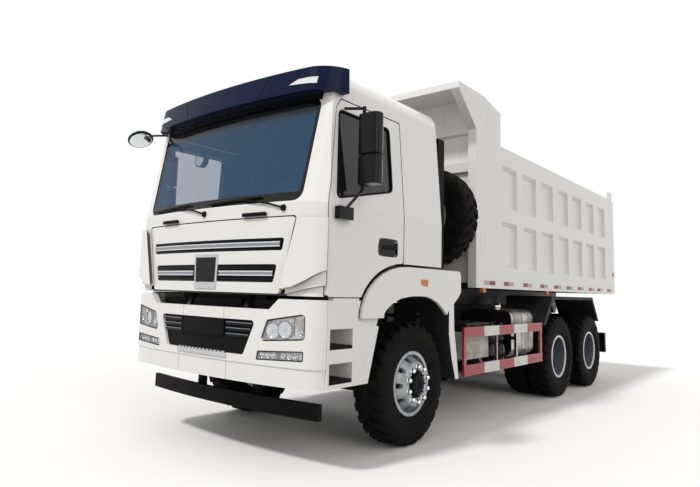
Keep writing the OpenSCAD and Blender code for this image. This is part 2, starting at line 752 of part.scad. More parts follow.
// Front fenders: outer panel with the wheel opening, liner, rear mud shield
module front_fenders() color(white) truck() {
  out_x = 1272;
  in_x = 1190;
  top = crown.y + crown_b;
  foot = 1182;
  rear = 740;
  liner_in = 640;
  liner_t = 14;
  opening = [[-650, 900], [610, 900], [570, 1370], [-605, 1370]];
  bends = [0, 0, 150, 200];
  panel = concat([[-560, foot], [450, 1205], [690, 1370], [rear, 1420], [rear, 1590], [710, top]],
                 [for (k = [crown_steps : -1 : 0]) crown_at(0, 90 * k / crown_steps) + [0, k == 0 ? 2 : 0]]);
  both_sides() {
    difference() {
      across(in_x, out_x) polygon(panel);
      across(in_x - 1, out_x + 1) rounded(opening, bends);
    }
    // Liner round the tyre
    difference() {
      across(liner_in, in_x + 1) rounded(grown(opening, liner_t), bends + [0, 0, liner_t, liner_t]);
      across(liner_in - 1, in_x + 2) rounded(opening, bends);
      box([0, -far, 0], [far, far, foot + 10]);
    }
    // Mud shield behind the tyre
    across(900, 1245)
      polygon([[545, 1330], [545, 1000], [600, 760], [680, 545], [745, 545], [700, 800], [650, 1050], [640, 1345]]);
    for (z = [850, 1150]) box([rail_x, 640, z - 20], [910, 664, z + 20]);
    box([rail_x, -30, 1380], [liner_in + 30, 30, 1410]);
    box([rail_x - 2, -30, frame_top], [rail_x + 20, 30, 1410]);
  }
}

// Step boxes between bumper and wheel
step_in = 930;
tread_z = [975, 713];
step_line = concat([[-bumper_end + 4, bumper_low], [-800, bumper_low], [-660, 1110]],
                   [for (z = [1165, 1245, bumper_high]) crown_at(16, asin(max(0, z - crown.y) / (crown_b + 16)))
                     + [0, min(0, z - crown.y)]],
                   [[-bumper_end + 4, bumper_high]]);
well = [[-1290, -1010], 240];
module steps() color(white) truck() both_sides() {
  difference() {
    across(step_in, cab_x) polygon(step_line);
    for (z = tread_z)
      box([cab_x - well[1], well[0][0], z - 26], [cab_x + 1, well[0][1], z + 130]);
  }
  for (z = [810, 1035]) box([rail_x, -1120, z - 20], [step_in + 1, -1060, z + 20]);
}
module step_treads() color(black) truck() both_sides()
  for (z = tread_z)
    box([cab_x - well[1] + 1, well[0][0] + 1, z - 26 + running], [cab_x - 4, well[0][1] - 1, z]);

// Bumper skin with openings for the intake, the lamps and the fog lamps
intake_line = [[-525, 868], [525, 868], [648, 1147], [-648, 1147]];
lamp_line = [[702, 988], [1130, 1022], [1130, 1219], [768, 1160]];
fog_line = [[666, 842], [1123, 862], [1123, 940], [680, 914]];
// The valance under the crease is set back and split by seams
crease_z = 806;
valance_in = 8;
seam_w = 5;
module seam(x, low, high) difference() {
  box([x - seam_w / 2, -far, low], [x + seam_w / 2, -1300, high]);
  bumper_form(valance_in + 14, low - 1, high + 1);
}
module bumper_form(t, low, high) translate([0, 0, low]) linear_extrude(high - low)
  bowed_plan(cab_x - t, bumper_front - t, 190 - t, bow_r - t, -900);
module bumper() color(white) truck() difference() {
  union() {
    bumper_form(0, crease_z, bumper_high);
    bumper_form(valance_in, bumper_low, crease_z + 1);
  }
  box([-far, -bumper_end, 0], [far, 0, far]);
  for (s = [-1, 1]) {
    seam(s * 328, bumper_low - 1, crease_z);
    seam(s * 284, 1140, bumper_mid + 1);
  }
  bumper_form(skin, bumper_low - 1, bumper_high + 1);
  along(-far, -1200) polygon([[-785, bumper_mid], [785, bumper_mid], [880, bumper_high + 1], [-880, bumper_high + 1]]);
  along(-far, -1200) soft(grown(intake_line, running), 30);
  both_sides() along(-far, -1200) soft(grown(lamp_line, running), 30);
  both_sides() along(-far, -1200) soft(grown(fog_line, running), 12);
}
module bumper_grille() color(black) truck() {
  intersection() {
    translate([0, 0, bumper_low]) linear_extrude(900) bow_strip(800, bumper_front, 26, 44);
    along(-far, -1200) soft(intake_line, 30);
  }
  // Dark panel over the bumper's middle, slotted for the cab's hinge arms
  for (x = [[-800, -475], [-325, 325], [475, 800]])
    box([x[0], -1385, 1040], [x[1], -1361, 1310]);
  // Beam that carries the skin, with its arms to the frame
  box([-1100, -1362, 900], [1100, -1322, 1050]);
  both_sides() {
    for (z = [[700, 840], [1160, 1235]])
      box([570, -1456, z[0]], [630, -1361, z[1]]);
    box([570, -1362, 700], [630, -1322, 1235]);
    box([470, -1323, 910], [530, -1085, 1000]);
    box([rail_x, -1135, 910], [471, -1085, 1000]);
  }
}
module lamp_pieces(outline, r) difference() {
  intersection() {
    bumper_form(3, bumper_low, bumper_high);
    along(-far, -1200) soft(outline, r);
  }
  bumper_form(skin + 20, bumper_low - 1, bumper_high + 1);
}
module headlamps() color(silver) truck() both_sides() {
  lamp_pieces(lamp_line, 30);
  lamp_pieces(fog_line, 12);
}
// Rear bar behind the last tyres; the tail lamps stand on it
bar_y = axle_3 + tyre_r + 392.5;
module underrun_bars() color(black) truck() {
  bar_front = 1330;
  // Front bar under the bumper
  translate([0, 0, 393]) linear_extrude(128) bow_strip(1108, bar_front, 0, 40);
  for (s = [-1, 1]) {
    box([s * 380 - 30, -bar_front + 30, 400], [s * 380 + 30, -1230, 515]);
    box([s * 380 - 30, -1240, 400], [s * 380 + 30, -rail_front, 860]);
  }
  // Rear bar
  box([-1195, bar_y, 470], [1195, bar_y + 60, 580]);
  both_sides() {
    box([350, bar_y - 60, 470], [410, bar_y + 5, 900]);
    box([350, rail_rear, 800], [rail_x, bar_y - 55, 900]);
  }
}
module tail_lamps() color(red) truck() both_sides()
  box([850, bar_y, 580 + running], [1190, bar_y + 70, 800]);

// Spare wheel upright behind the cab
spare = [745, 955, 2250];
module spare_carrier() color(white) truck() {
  box([rail_x - 80, 640, frame_top], [rail_x, 760, 1700]);
  box([rail_x - 80, 640, 1700], [spare.x + 80, 760, 1800]);
  box([spare.x - 60, 660, 1800], [spare.x + 60, 760, 2420]);
  translate([spare.x, 760, spare.z]) rotate([-90, 0, 0]) cylinder(h = 120, r = 90);
}
module air_intake() color(black) truck() {
  box([940, 400, 1660], [1190, 520, 2980]);
  box([rail_x, 420, frame_top - 200], [rail_x + 30, 500, 1690]);
  box([rail_x, 420, 1660], [945, 500, 1690]);
}

// Wheels, drawn with the axle along +Z pointing outward
module tyre_body() rotate_extrude($fn = 96)
  rounded([[rim_r - 5, -108], [rim_r + 140, -tyre_w / 2], [tyre_r - 30, -tyre_w / 2 + 12],
           [tyre_r, -tyre_w / 2 + 42], [tyre_r, tyre_w / 2 - 42], [tyre_r - 30, tyre_w / 2 - 12],
           [rim_r + 140, tyre_w / 2], [rim_r - 5, 108]], [4, 60, 30, 20, 20, 30, 60, 4]);
module rim_barrel() rotate_extrude($fn = 96)
  polygon([[rim_r - 30, -128], [rim_r, -128], [rim_r, -116], [rim_r - 5 - running, -112],
           [rim_r - 5 - running, 112], [rim_r, 116], [rim_r, 128], [rim_r - 30, 128]]);
module wheel_at(place, side) translate(place) rotate([0, side * 90, 0]) children();
hub_bore = 40 + running;
module front_rim() difference() {
  union() {
    rim_barrel();
    rotate_extrude($fn = 96)
      polygon([[0, 0], [0, 160], [124, 160], [130, 186], [184, 186], [198, 178], [rim_r - 32, 80],
               [rim_r - 25, 45], [rim_r - 25, 15], [rim_r - 50, 65], [186, 163], [150, 168], [122, 130], [122, 0]]);
    rotate_extrude($fn = 96) polygon([[185, -108], [205, -108], [205, 0], [110, 40], [110, 10], [185, -20]]);
  }
  translate([0, 0, -1]) cylinder(h = 61, r = hub_bore);
  for (i = [0 : 9]) rotate(i * 36 + 18) translate([228, 0, 40]) cylinder(h = 160, r = 25);
}
module twin_rims() difference() {
  union() {
    for (w = [-twin_pitch / 2, twin_pitch / 2]) translate([0, 0, w]) rim_barrel();
    rotate_extrude($fn = 96)
      polygon([[0, -60], [0, 150], [90, 150], [105, 120], [150, 110], [150, 14], [200, 14], [rim_r - 28, 70],
               [rim_r - 28, 45], [215, 0], [rim_r - 28, -45], [rim_r - 28, -70], [200, -14], [150, -14], [150, -60]]);
    rotate_extrude($fn = 96) polygon([[185, -190], [210, -190], [210, -60], [150, -14], [120, -14], [185, -80]]);
  }
  translate([0, 0, -61]) cylinder(h = 131, r = 45 + running);
  for (i = [0 : 9]) rotate(i * 36 + 18) translate([212, 0, -50]) cylinder(h = 110, r = 24);
}
module front_wheel_place(side) truck() wheel_at([side * front_x, 0, axle_z], side) children();
module twin_place(side, y) truck() wheel_at([side * rear_x, y, axle_z], side) children();
module twin_tyres()
  for (w = [-twin_pitch / 2, twin_pitch / 2]) translate([0, 0, w]) tyre_body();
module tyre_front_left() color(black) front_wheel_place(1) tyre_body();
module tyre_front_right() color(black) front_wheel_place(-1) tyre_body();
module rim_front_left() color(silver) front_wheel_place(1) front_rim();
module rim_front_right() color(silver) front_wheel_place(-1) front_rim();
module tyres_mid_left() color(black) twin_place(1, axle_2) twin_tyres();
module tyres_mid_right() color(black) twin_place(-1, axle_2) twin_tyres();
module tyres_rear_left() color(black) twin_place(1, axle_3) twin_tyres();
module tyres_rear_right() color(black) twin_place(-1, axle_3) twin_tyres();
module rims_mid_left() color(grey) twin_place(1, axle_2) twin_rims();
module rims_mid_right() color(grey) twin_place(-1, axle_2) twin_rims();
module rims_rear_left() color(grey) twin_place(1, axle_3) twin_rims();
module rims_rear_right() color(grey) twin_place(-1, axle_3) twin_rims();
module spare_tyre() color(black) truck() translate(spare) rotate([90, 0, 0]) tyre_body();
module spare_rim() color(silver) truck() translate(spare) rotate([90, 0, 0]) {
  rim_barrel();
  rotate_extrude($fn = 96)
    polygon([[91, 75], [170, 75], [rim_r - 28, 20], [rim_r - 28, 0], [170, 60], [91, 60]]);
}

// Steering knuckles with their stub axles, and the track rod between them
arm_end = [kingpin_x, 230];
module knuckle() {
  translate([kingpin_x, 0, axle_z - 130]) cylinder(h = 260, r = 25);
  for (z = [axle_z - 130, axle_z + 65 + running])
    translate([kingpin_x, 0, z]) cylinder(h = 65 - running, r = 48);
  for (z = [axle_z - 130, axle_z + 65 + running])
    box([kingpin_x, -45, z], [kingpin_x + 75, 45, z + 65 - running]);
  box([kingpin_x + 60, -60, axle_z - 130], [kingpin_x + 90, 60, axle_z + 130]);
  translate([kingpin_x + 89, 0, axle_z]) axle_rod(0, kingpin_inset - 89 + 55, 40);
  // Steering arm down to the track rod
  translate([0, 0, axle_z - 130]) linear_extrude(40) polygon(
    [[kingpin_x - 30, 0], [kingpin_x + 30, 0], [arm_end.x + 24, arm_end.y], [arm_end.x - 24, arm_end.y]]);
  translate([arm_end.x, arm_end.y, axle_z - 130]) cylinder(h = 40, r = 26);
}
module knuckle_left() color(grey) truck() difference() {
  knuckle();
  translate([arm_end.x, arm_end.y, 0]) cylinder(h = 1000, r = 14 + running);
}
module knuckle_right() color(grey) truck() right_hand() difference() {
  knuckle();
  translate([arm_end.x, arm_end.y, 0]) cylinder(h = 1000, r = 14 + running);
}
module tie_rod() color(grey) truck() {
  rod_z = axle_z - 165;
  rod([-arm_end.x, arm_end.y, rod_z], [arm_end.x, arm_end.y, rod_z], 22);
  for (s = [-1, 1]) translate([s * arm_end.x, arm_end.y, 0]) {
    translate([0, 0, rod_z - 30]) cylinder(h = 60, r = 28);
    translate([0, 0, rod_z]) cylinder(h = 165 - 95, r = 14);
  }
}

// Load bed
floor_top = bed_low + 85;
side_in = bed_x - bed_wall;
board_t = 70;
gate_axis = [tail_end - 55, bed_high + 90];
module bed_floor() color(white) truck() {
  pin_r = 35;
  lug_r = 88;
  beam_x = [rail_x - 85, rail_x];
  box([-side_in, bed_front + board_t + running, floor_top - 30], [side_in, bed_rear - 10, floor_top]);
  for (i = [0 : 11]) {
    y = bed_front + 60 + i * (bed_rear - bed_front - 170) / 11;
    box([-side_in, y, bed_low], [side_in, y + 60, floor_top - 29]);
  }
  both_sides() {
    box([beam_x[0], bed_front + 60, sub_high + 12], [beam_x[1], hinge_y + 60, bed_low + 1]);
    across(beam_x[0], beam_x[1])
      polygon([[hinge_y - 160, sub_high + 14], [hinge_y - lug_r, hinge_z], [hinge_y + lug_r, hinge_z],
               [hinge_y + lug_r, bed_low + 1], [hinge_y - 160, bed_low + 1]]);
    translate([0, hinge_y, hinge_z]) axle_rod(beam_x[0], beam_x[1], lug_r);
    translate([0, hinge_y, hinge_z]) axle_rod(rail_x - 140, beam_x[0] + 1, pin_r);
  }
}
module bed_sides() color(white) truck() both_sides() {
  first = 1765;
  pitch = (bed_rear - 340 - first) / panels;
  width = pitch - 210;
  rows = [[1730, 2253], [2462, 2935]];
  slope = 24;
  difference() {
    union() {
      box([side_in + running, bed_front, bed_low], [bed_x, bed_rear, bed_high]);
      // Raised side of the headboard
      across(side_in + running, bed_x)
        polygon([[bed_front - 65, bed_low], [1765, bed_low], [1765, canopy_z - 100], [1300, canopy_z],
                 [canopy_front, canopy_z], [canopy_front, canopy_z - 70], [bed_front - 65, canopy_z - 430]]);
    }
    for (i = [0 : panels - 1], z = rows)
      along(first + 50 + i * pitch, first + 50 + i * pitch + width)
        polygon([[bed_x + 1, z[0] - slope], [bed_x + 1, z[1] + slope], [bed_x - panel_depth, z[1] - slope],
                 [bed_x - panel_depth, z[0] + slope]]);
  }
  // Ear that carries the tailgate's hinge
  difference() {
    across(side_in + 30, bed_x - 30)
      rounded([[bed_rear - 230, bed_high - 10], [tail_end - 60, bed_high - 10], [tail_end, bed_high + 60],
               [tail_end, bed_high + 150], [bed_rear - 180, bed_high + 150]], [0, 0, 20, 40, 20]);
    translate([0, gate_axis.x, gate_axis.y]) axle_rod(0, bed_x + 10, 20 + running);
  }
}
module bed_headboard() color(white) truck() {
  plate = side_in;
  board_top = canopy_z - 60;
  ribs = 4;
  rib_low = floor_top + 340;
  rib_high = board_top - 400;
  box([-plate, bed_front, floor_top - 29 + running], [plate, bed_front + board_t, board_top]);
  for (i = [0 : ribs - 1]) {
    z = rib_low + i * (rib_high - rib_low) / (ribs - 1);
    box([-plate, bed_front - 40, z], [plate, bed_front + 1, z + 110]);
  }
  // Canopy
  across(-plate, plate)
    polygon([[canopy_front, canopy_z - 70], [canopy_front, canopy_z], [1300, canopy_z],
             [bed_front + board_t, board_top], [bed_front, board_top - 1]]);
  // Ears for the hoist's trunnions
  difference() {
    for (s = [-1, 1])
      across(s > 0 ? hoist_r + 14 : -hoist_r - 44, s > 0 ? hoist_r + 44 : -hoist_r - 14)
        rounded([[hoist_y - 60, trunnion_z - 60], [bed_front + 5, trunnion_z + 70], [bed_front + 5, trunnion_z + 300],
                 [hoist_y - 60, trunnion_z + 60]], [40, 0, 0, 40]);
    translate([0, hoist_y, trunnion_z]) axle_rod(-300, 300, 28 + running);
  }
}
module tailgate() color(white) truck() {
  t = 70;
  low = bed_low + 10;
  high = bed_high - 20;
  y0 = bed_rear + 8;
  difference() {
    box([-bed_x + 4, y0, low], [bed_x - 4, y0 + t, high]);
    for (i = [-2 : 2], z = [low + 130, (low + high) / 2 + 60])
      box([i * 470 - 170, y0 + t - 35, z], [i * 470 + 170, y0 + t + 1, z + (high - low) / 2 - 190]);
  }
  both_sides() {
    across(bed_x - 170, side_in + 20)
      rounded([[y0, high - 200], [y0 + t, high - 200], [gate_axis.x + 35, gate_axis.y + 35],
               [gate_axis.x - 35, gate_axis.y + 35]], [0, 0, 25, 25]);
    translate([0, gate_axis.x, gate_axis.y]) axle_rod(bed_x - 170, bed_x - 25, 20);
  }
}

// Front hoist: the tube hangs on the bed, the stages reach down to the frame
stages = 3;
stage_gap = 0.6;
stage_step = 15;
function stage_r(i) = hoist_r - 12 - stage_gap - stage_step * (i - 1);
tube_low = foot_z + 150;
module hoist_tube() color(grey) truck() translate([0, hoist_y, 0]) {
  difference() {
    translate([0, 0, tube_low]) cylinder(h = hoist_top - tube_low, r = hoist_r);
    translate([0, 0, tube_low - 1]) cylinder(h = hoist_top - tube_low - 20, r = hoist_r - 12);
  }
  translate([0, 0, trunnion_z]) for (s = [-1, 1])
    axle_rod(s > 0 ? hoist_r - 8 : -hoist_r - 55, s > 0 ? hoist_r + 55 : 8 - hoist_r, 28);
}
module stage(i) {
  low = tube_low - 20 * i;
  solid = i == stages;
  difference() {
    translate([0, 0, low]) cylinder(h = hoist_top - 40 - 20 * i - low, r = stage_r(i));
    if (!solid) translate([0, 0, low - 1])
      cylinder(h = hoist_top - 58 - 20 * i - low, r = stage_r(i) - stage_step + stage_gap);
  }
}
module hoist_stage_1() color(silver) truck() translate([0, hoist_y, 0]) stage(1);
module hoist_stage_2() color(silver) truck() translate([0, hoist_y, 0]) stage(2);
module hoist_stage_3() color(silver) truck() translate([0, hoist_y, 0]) {
  stage(3);
  difference() {
    union() {
      translate([0, 0, foot_z]) cylinder(h = tube_low - foot_z - 40, r = 45);
      translate([0, 0, foot_z]) axle_rod(-55, 55, 55);
    }
    translate([0, 0, foot_z]) axle_rod(-100, 100, 30);
  }
}

frame_rails();
bed_subframe();
front_axle();
rear_axles();
prop_shafts();
leaf_springs();
engine();
fuel_tank();
battery_box();
air_tanks();
side_guards();
rear_fenders();
front_fenders();
steps();
step_treads();
bumper();
bumper_grille();
headlamps();
underrun_bars();
tail_lamps();
spare_carrier();
spare_tyre();
spare_rim();
air_intake();
knuckle_left();
knuckle_right();
tie_rod();
tyre_front_left();
rim_front_left();
tyre_front_right();
rim_front_right();
tyres_mid_left();
rims_mid_left();
tyres_mid_right();
rims_mid_right();
tyres_rear_left();
rims_rear_left();
tyres_rear_right();
rims_rear_right();
cab_shell();
windshield();
sun_visor();
cab_trim();
cab_interior();
door_left();
door_right();
door_glass_left();
door_glass_right();
mirror_left();
mirror_right();
front_lid();
grille();
bed_floor();
bed_sides();
bed_headboard();
tailgate();
hoist_tube();
hoist_stage_1();
hoist_stage_2();
hoist_stage_3();
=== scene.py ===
"""Looks of a white three-axle tipper truck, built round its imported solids.

Metres. Forward is -Y, the truck's left is +X, the ground is z = 0.
"""
import json
import math

import bmesh
import bpy
from mathutils import Matrix, Vector


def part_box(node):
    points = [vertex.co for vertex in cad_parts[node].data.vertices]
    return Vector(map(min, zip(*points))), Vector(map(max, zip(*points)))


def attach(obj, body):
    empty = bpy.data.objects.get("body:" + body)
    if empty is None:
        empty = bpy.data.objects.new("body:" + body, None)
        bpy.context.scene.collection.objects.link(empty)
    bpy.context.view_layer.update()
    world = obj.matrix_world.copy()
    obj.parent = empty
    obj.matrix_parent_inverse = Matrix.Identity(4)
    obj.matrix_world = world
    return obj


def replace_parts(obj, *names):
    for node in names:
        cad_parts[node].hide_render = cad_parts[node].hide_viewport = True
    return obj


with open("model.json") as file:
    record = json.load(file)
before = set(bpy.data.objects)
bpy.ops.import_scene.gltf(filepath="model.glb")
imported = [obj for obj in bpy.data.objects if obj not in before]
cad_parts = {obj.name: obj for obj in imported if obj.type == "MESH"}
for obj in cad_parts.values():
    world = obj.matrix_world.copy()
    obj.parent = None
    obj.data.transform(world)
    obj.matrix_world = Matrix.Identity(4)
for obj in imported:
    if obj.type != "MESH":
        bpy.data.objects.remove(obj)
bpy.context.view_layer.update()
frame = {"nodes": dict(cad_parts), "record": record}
nodes = frame["nodes"]
SIDES = {"left": 1, "right": -1}
LEFT = SIDES["left"]
AXLE_X = Vector((1, 0, 0))
FORWARD = Vector((0, -1, 0))
REARWARD = Vector((0, 1, 0))
UP = Vector((0, 0, 1))


# Places: the y of an at() or of a front surface is measured back from the front axle
def middle(node):
    low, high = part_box(node)
    return (low + high) / 2


FRONT_AXLE_Y = middle("rim_front_left").y
HUB_Z = middle("rim_front_left").z
TYRE_R = HUB_Z


def at(x, y, z):
    return Vector((x, y + FRONT_AXLE_Y, z))


# Front surfaces: a bowed plan with round corners, leaning back above the belt
CAB_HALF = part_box("door_left")[1].x
BOW_R = 7.1
CAB_FRONT = 1.53
BUMPER_FRONT = 1.545
BELT_Z = 2.08
BELT_LEDGE = 0.003
LEAN = math.radians(10.8)
CAB_CORNER = 0.15
BUMPER_CORNER = 0.19
VISOR_REACH = 0.125
VISOR_CORNER = 0.30


def bowed_y(x, front, corner):
    """Depth of the bowed plan at x, its corners turned with the given radius."""
    x = abs(x)
    centre_x = CAB_HALF - corner
    meet_x = centre_x * BOW_R / (BOW_R - corner)
    if x <= meet_x:
        return BOW_R - front - math.sqrt(BOW_R ** 2 - x ** 2)
    centre_y = BOW_R - front - math.sqrt((BOW_R - corner) ** 2 - centre_x ** 2)
    return centre_y - math.sqrt(max(0.0, corner ** 2 - (x - centre_x) ** 2))


def leaned(plan_y, z):
    """Depth at height z of a plan that is drawn in the windshield's leaning frame."""
    ahead = plan_y + CAB_FRONT
    rise = (z - BELT_Z + ahead * math.sin(LEAN)) / math.cos(LEAN)
    return BELT_LEDGE - CAB_FRONT + ahead * math.cos(LEAN) + rise * math.sin(LEAN)


def cab_face(x, z, depth):
    flat = bowed_y(x, CAB_FRONT, CAB_CORNER) + depth
    return at(x, flat if z <= BELT_Z else leaned(flat, z), z)


def bumper_face(x, z, depth):
    return at(x, bowed_y(x, BUMPER_FRONT, BUMPER_CORNER) + depth, z)


def visor_face(x, z, depth):
    return at(x, leaned(bowed_y(x, CAB_FRONT + VISOR_REACH, VISOR_CORNER) + depth, z), z)


# Shader expressions
class Wire:
    """A socket of a node tree that takes part in Python sums."""

    def __init__(self, tree, socket=None):
        self.tree = tree
        self.socket = socket

    def node(self, kind, settings, inputs, out=0):
        made = self.tree.nodes.new(kind)
        for key, value in settings.items():
            setattr(made, key, value)
        for key, value in inputs.items():
            if isinstance(value, Wire):
                self.tree.links.new(value.socket, made.inputs[key])
            else:
                made.inputs[key].default_value = value
        return Wire(self.tree, made.outputs[out])

    def math(self, operation, *values):
        return self.node("ShaderNodeMath", {"operation": operation}, dict(enumerate(values)))

    def __add__(self, other):
        return self.math("ADD", self, other)

    def __radd__(self, other):
        return self.math("ADD", other, self)

    def __sub__(self, other):
        return self.math("SUBTRACT", self, other)

    def __rsub__(self, other):
        return self.math("SUBTRACT", other, self)

    def __mul__(self, other):
        return self.math("MULTIPLY", self, other)

    def __rmul__(self, other):
        return self.math("MULTIPLY", other, self)

    def __abs__(self):
        return self.math("ABSOLUTE", self)

    def over(self, edge, soft):
        """0 below edge - soft, 1 above edge + soft."""
        return self.node("ShaderNodeMapRange", {"clamp": True, "interpolation_type": "SMOOTHSTEP"},
                         {"Value": self, "From Min": edge - soft, "From Max": edge + soft})

    def between(self, low, high, soft):
        return self.over(low, soft) * (1 - self.over(high, soft))

    def mix(self, under, top):
        """Colour under where this mask is 0 and top where it is 1."""
        colours = {"Factor": self, "A": under, "B": top}
        return self.node("ShaderNodeMix", {"data_type": "RGBA"}, colours, out=2)

    def axis(self, name):
        """X, Y or Z of a vector."""
        return self.node("ShaderNodeSeparateXYZ", {}, {"Vector": self}, out=name)


def rgb(r, g, b):
    return (r, g, b, 1.0)


def place_of(wire):
    """Place in the truck's frame at rest; it stays with a piece that moves."""
    return wire.node("ShaderNodeTexCoord", {}, {}, out="Object")


def noise(spot, scale, detail=3.0, rough=0.55):
    sockets = {"Vector": spot, "Scale": scale, "Detail": detail, "Roughness": rough}
    return spot.node("ShaderNodeTexNoise", {}, sockets)


def stretched(spot, scale):
    return spot.node("ShaderNodeMapping", {"vector_type": "POINT"}, {"Vector": spot, "Scale": scale})


def bumped(height, strength, depth):
    return height.node("ShaderNodeBump", {}, {"Height": height, "Strength": strength, "Distance": depth})


def finish(name, recipe, **constants):
    """Principled material; recipe gives the sockets that vary, constants the even ones."""
    material = bpy.data.materials.new(name)
    material.use_nodes = True
    tree = material.node_tree
    shader = tree.nodes["Principled BSDF"]
    for key, value in constants.items():
        shader.inputs[key.replace("_", " ").title().replace("Ior", "IOR")].default_value = value
    for key, value in recipe(Wire(tree)).items():
        tree.links.new(value.socket, shader.inputs[key])
    return material


# Finishes
DUST = rgb(0.34, 0.29, 0.23)
# Near-black for black parts, and also for painted shade: under the bed and the spare carrier, on the fuel
# tank's end plates, in the gap under the cab's front, over the windshield and on the cab's faces that look
# down
BLACK_AND_PAINTED_SHADE = rgb(0.007, 0.007, 0.008)
CAB_LINING = rgb(0.030, 0.032, 0.036)
DEEP_BLACK = rgb(0.004, 0.004, 0.005)
BED_TONE = rgb(0.80, 0.80, 0.785)
# Edges where the paint of one solid changes; several of them bound painted shade (the cab's front gap, the
# header over the windshield, the undersides of the bed and the carrier, the tank's end plates)
CAB_MIDDLE = at(0.0, -0.55, 2.30)
CAB_FLOOR_Z = 1.3515
HEADER_Z = (2.950, 3.080)
HEADER_HALF = 1.085
HEADER_BACK_Y = FRONT_AXLE_Y - 1.0
ARM_TOP_Z = 1.402
ARM_REACH_X = 0.925
BED_PLATE_Z = 1.5310
CARRIER_FOOT_Z = 1.40
TANK_SHEET_Y = (2.332, 3.028)
BOX_LID_Z = 0.985
FENDER_BACK_X = 1.2435
GUARD_PATCHES = ((1.335, 1.72), (2.14, 2.55))
GUARD_BACK_X = 1.2190
SCREEN_Z = (2.10, 2.975)
SCREEN_HALVES = (1.045, 1.085)
SCREEN_CORNER = 0.13
SCREEN_BORDER = 0.040
SCREEN_FOOT = 0.075
SHADE_BAND = 0.14


def gloss_white(wire):
    """Cab paint with a thin film of dust low down."""
    spot = place_of(wire)
    cloud = noise(spot, 2.2)
    low = 1 - spot.axis("Z").over(0.95, 0.45)
    film = low * cloud.over(0.52, 0.22) * 0.09
    peel = noise(spot, 320.0, 1.0)
    return {"Base Color": film.mix(rgb(0.81, 0.81, 0.795), DUST),
            "Roughness": 0.24 + film * 0.9 + cloud * 0.04,
            "Normal": bumped(peel, 0.02, 0.0005)}


def cab_white(wire):
    """Cab paint outside, lining inside, black under the floor; painted shade on faces that look down, on the
    hinge arms and lower front edge in the gap under the lid, and on the header over the windshield.
    """
    paint = gloss_white(wire)
    spot = place_of(wire)
    x, y, z = (spot.axis(name) for name in "XYZ")
    normal = wire.node("ShaderNodeTexCoord", {}, {}, out="Normal")
    from_middle = wire.node("ShaderNodeVectorMath", {"operation": "SUBTRACT"}, {0: spot, 1: CAB_MIDDLE})
    outward = wire.node("ShaderNodeVectorMath", {"operation": "DOT_PRODUCT"}, {0: normal, 1: from_middle},
                        out="Value")
    outside = outward.over(0.0, 0.02)
    # Painted shade: the hinge arms and the cab's lower front edge, seen in the gap under the lid, are
    # painted near-black
    arm_gap_shade = (1 - z.over(ARM_TOP_Z, 0.001)) * (1 - abs(x).over(ARM_REACH_X, 0.002))
    ahead = (1 - abs(x).over(HEADER_HALF, 0.003)) * (1 - y.over(HEADER_BACK_Y, 0.01))
    # Painted shade: the header strip over the windshield is painted near-black, like the visor's shade on
    # the glass
    header_shade = z.between(*HEADER_Z, 0.002) * ahead
    # Black under the floor, and painted shade on faces that look down
    painted = z.over(CAB_FLOOR_Z, 0.001) * normal.axis("Z").over(-0.55, 0.1) * (1 - arm_gap_shade) * (1 - header_shade)
    base = painted.mix(BLACK_AND_PAINTED_SHADE, outside.mix(CAB_LINING, paint["Base Color"]))
    return {**paint, "Base Color": base, "Coat Weight": painted * outside * 0.5}


def outer_white(skin_x):
    """White further from the middle plane than skin_x, black behind it."""
    def recipe(wire):
        paint = gloss_white(wire)
        shown = abs(place_of(wire).axis("X")).over(skin_x, 0.0005)
        return {**paint, "Base Color": shown.mix(BLACK_AND_PAINTED_SHADE, paint["Base Color"]),
                "Roughness": 0.6 - shown * 0.33, "Coat Weight": shown * 0.5}
    return recipe


def bed_white(wire):
    """Bed paint: duller, with rub marks and rain streaks."""
    spot = place_of(wire)
    low = 1 - spot.axis("Z").over(1.62, 0.14)
    streak = noise(stretched(spot, (6.0, 6.0, 0.55)), 2.4).over(0.64, 0.10)
    rub = noise(spot, 14.0, 6.0, 0.7).over(0.69, 0.05)
    film = streak * 0.10 + rub * 0.08 + low * noise(spot, 5.0) * 0.16
    return {"Base Color": film.mix(BED_TONE, DUST),
            "Roughness": 0.34 + film * 0.8,
            "Normal": bumped(noise(spot, 60.0, 2.0), 0.06, 0.002)}


def white_over_painted_shade(height):
    """Bed paint above a height, near-black painted shade on what is under it."""
    def recipe(wire):
        paint = bed_white(wire)
        # Painted shade: below the height the colour is near-black
        shown = place_of(wire).axis("Z").over(height, 0.001)
        return {**paint, "Base Color": shown.mix(BLACK_AND_PAINTED_SHADE, paint["Base Color"])}
    return recipe


def chassis_paint(wire):
    spot = place_of(wire)
    dirt = noise(spot, 7.0, 6.0, 0.65).over(0.53, 0.12)
    return {"Base Color": (dirt * 0.55).mix(rgb(0.010, 0.0105, 0.012), rgb(0.038, 0.034, 0.029)),
            "Roughness": 0.48 + dirt * 0.3,
            "Normal": bumped(noise(spot, 90.0, 3.0), 0.18, 0.002)}


def grained_black(wire):
    spot = place_of(wire)
    grain = noise(spot, 900.0, 2.0)
    scuff = noise(spot, 11.0, 5.0).over(0.62, 0.09)
    return {"Base Color": (scuff * 0.35).mix(rgb(0.0055, 0.0055, 0.006), rgb(0.024, 0.023, 0.021)),
            "Roughness": 0.44 + scuff * 0.18 + grain * 0.1,
            "Normal": bumped(grain, 0.22, 0.0008)}


def gloss_black(wire):
    spot = place_of(wire)
    film = noise(spot, 6.0, 4.0).over(0.6, 0.1)
    return {"Base Color": (film * 0.2).mix(DEEP_BLACK, rgb(0.02, 0.02, 0.021)),
            "Roughness": 0.14 + film * 0.16}


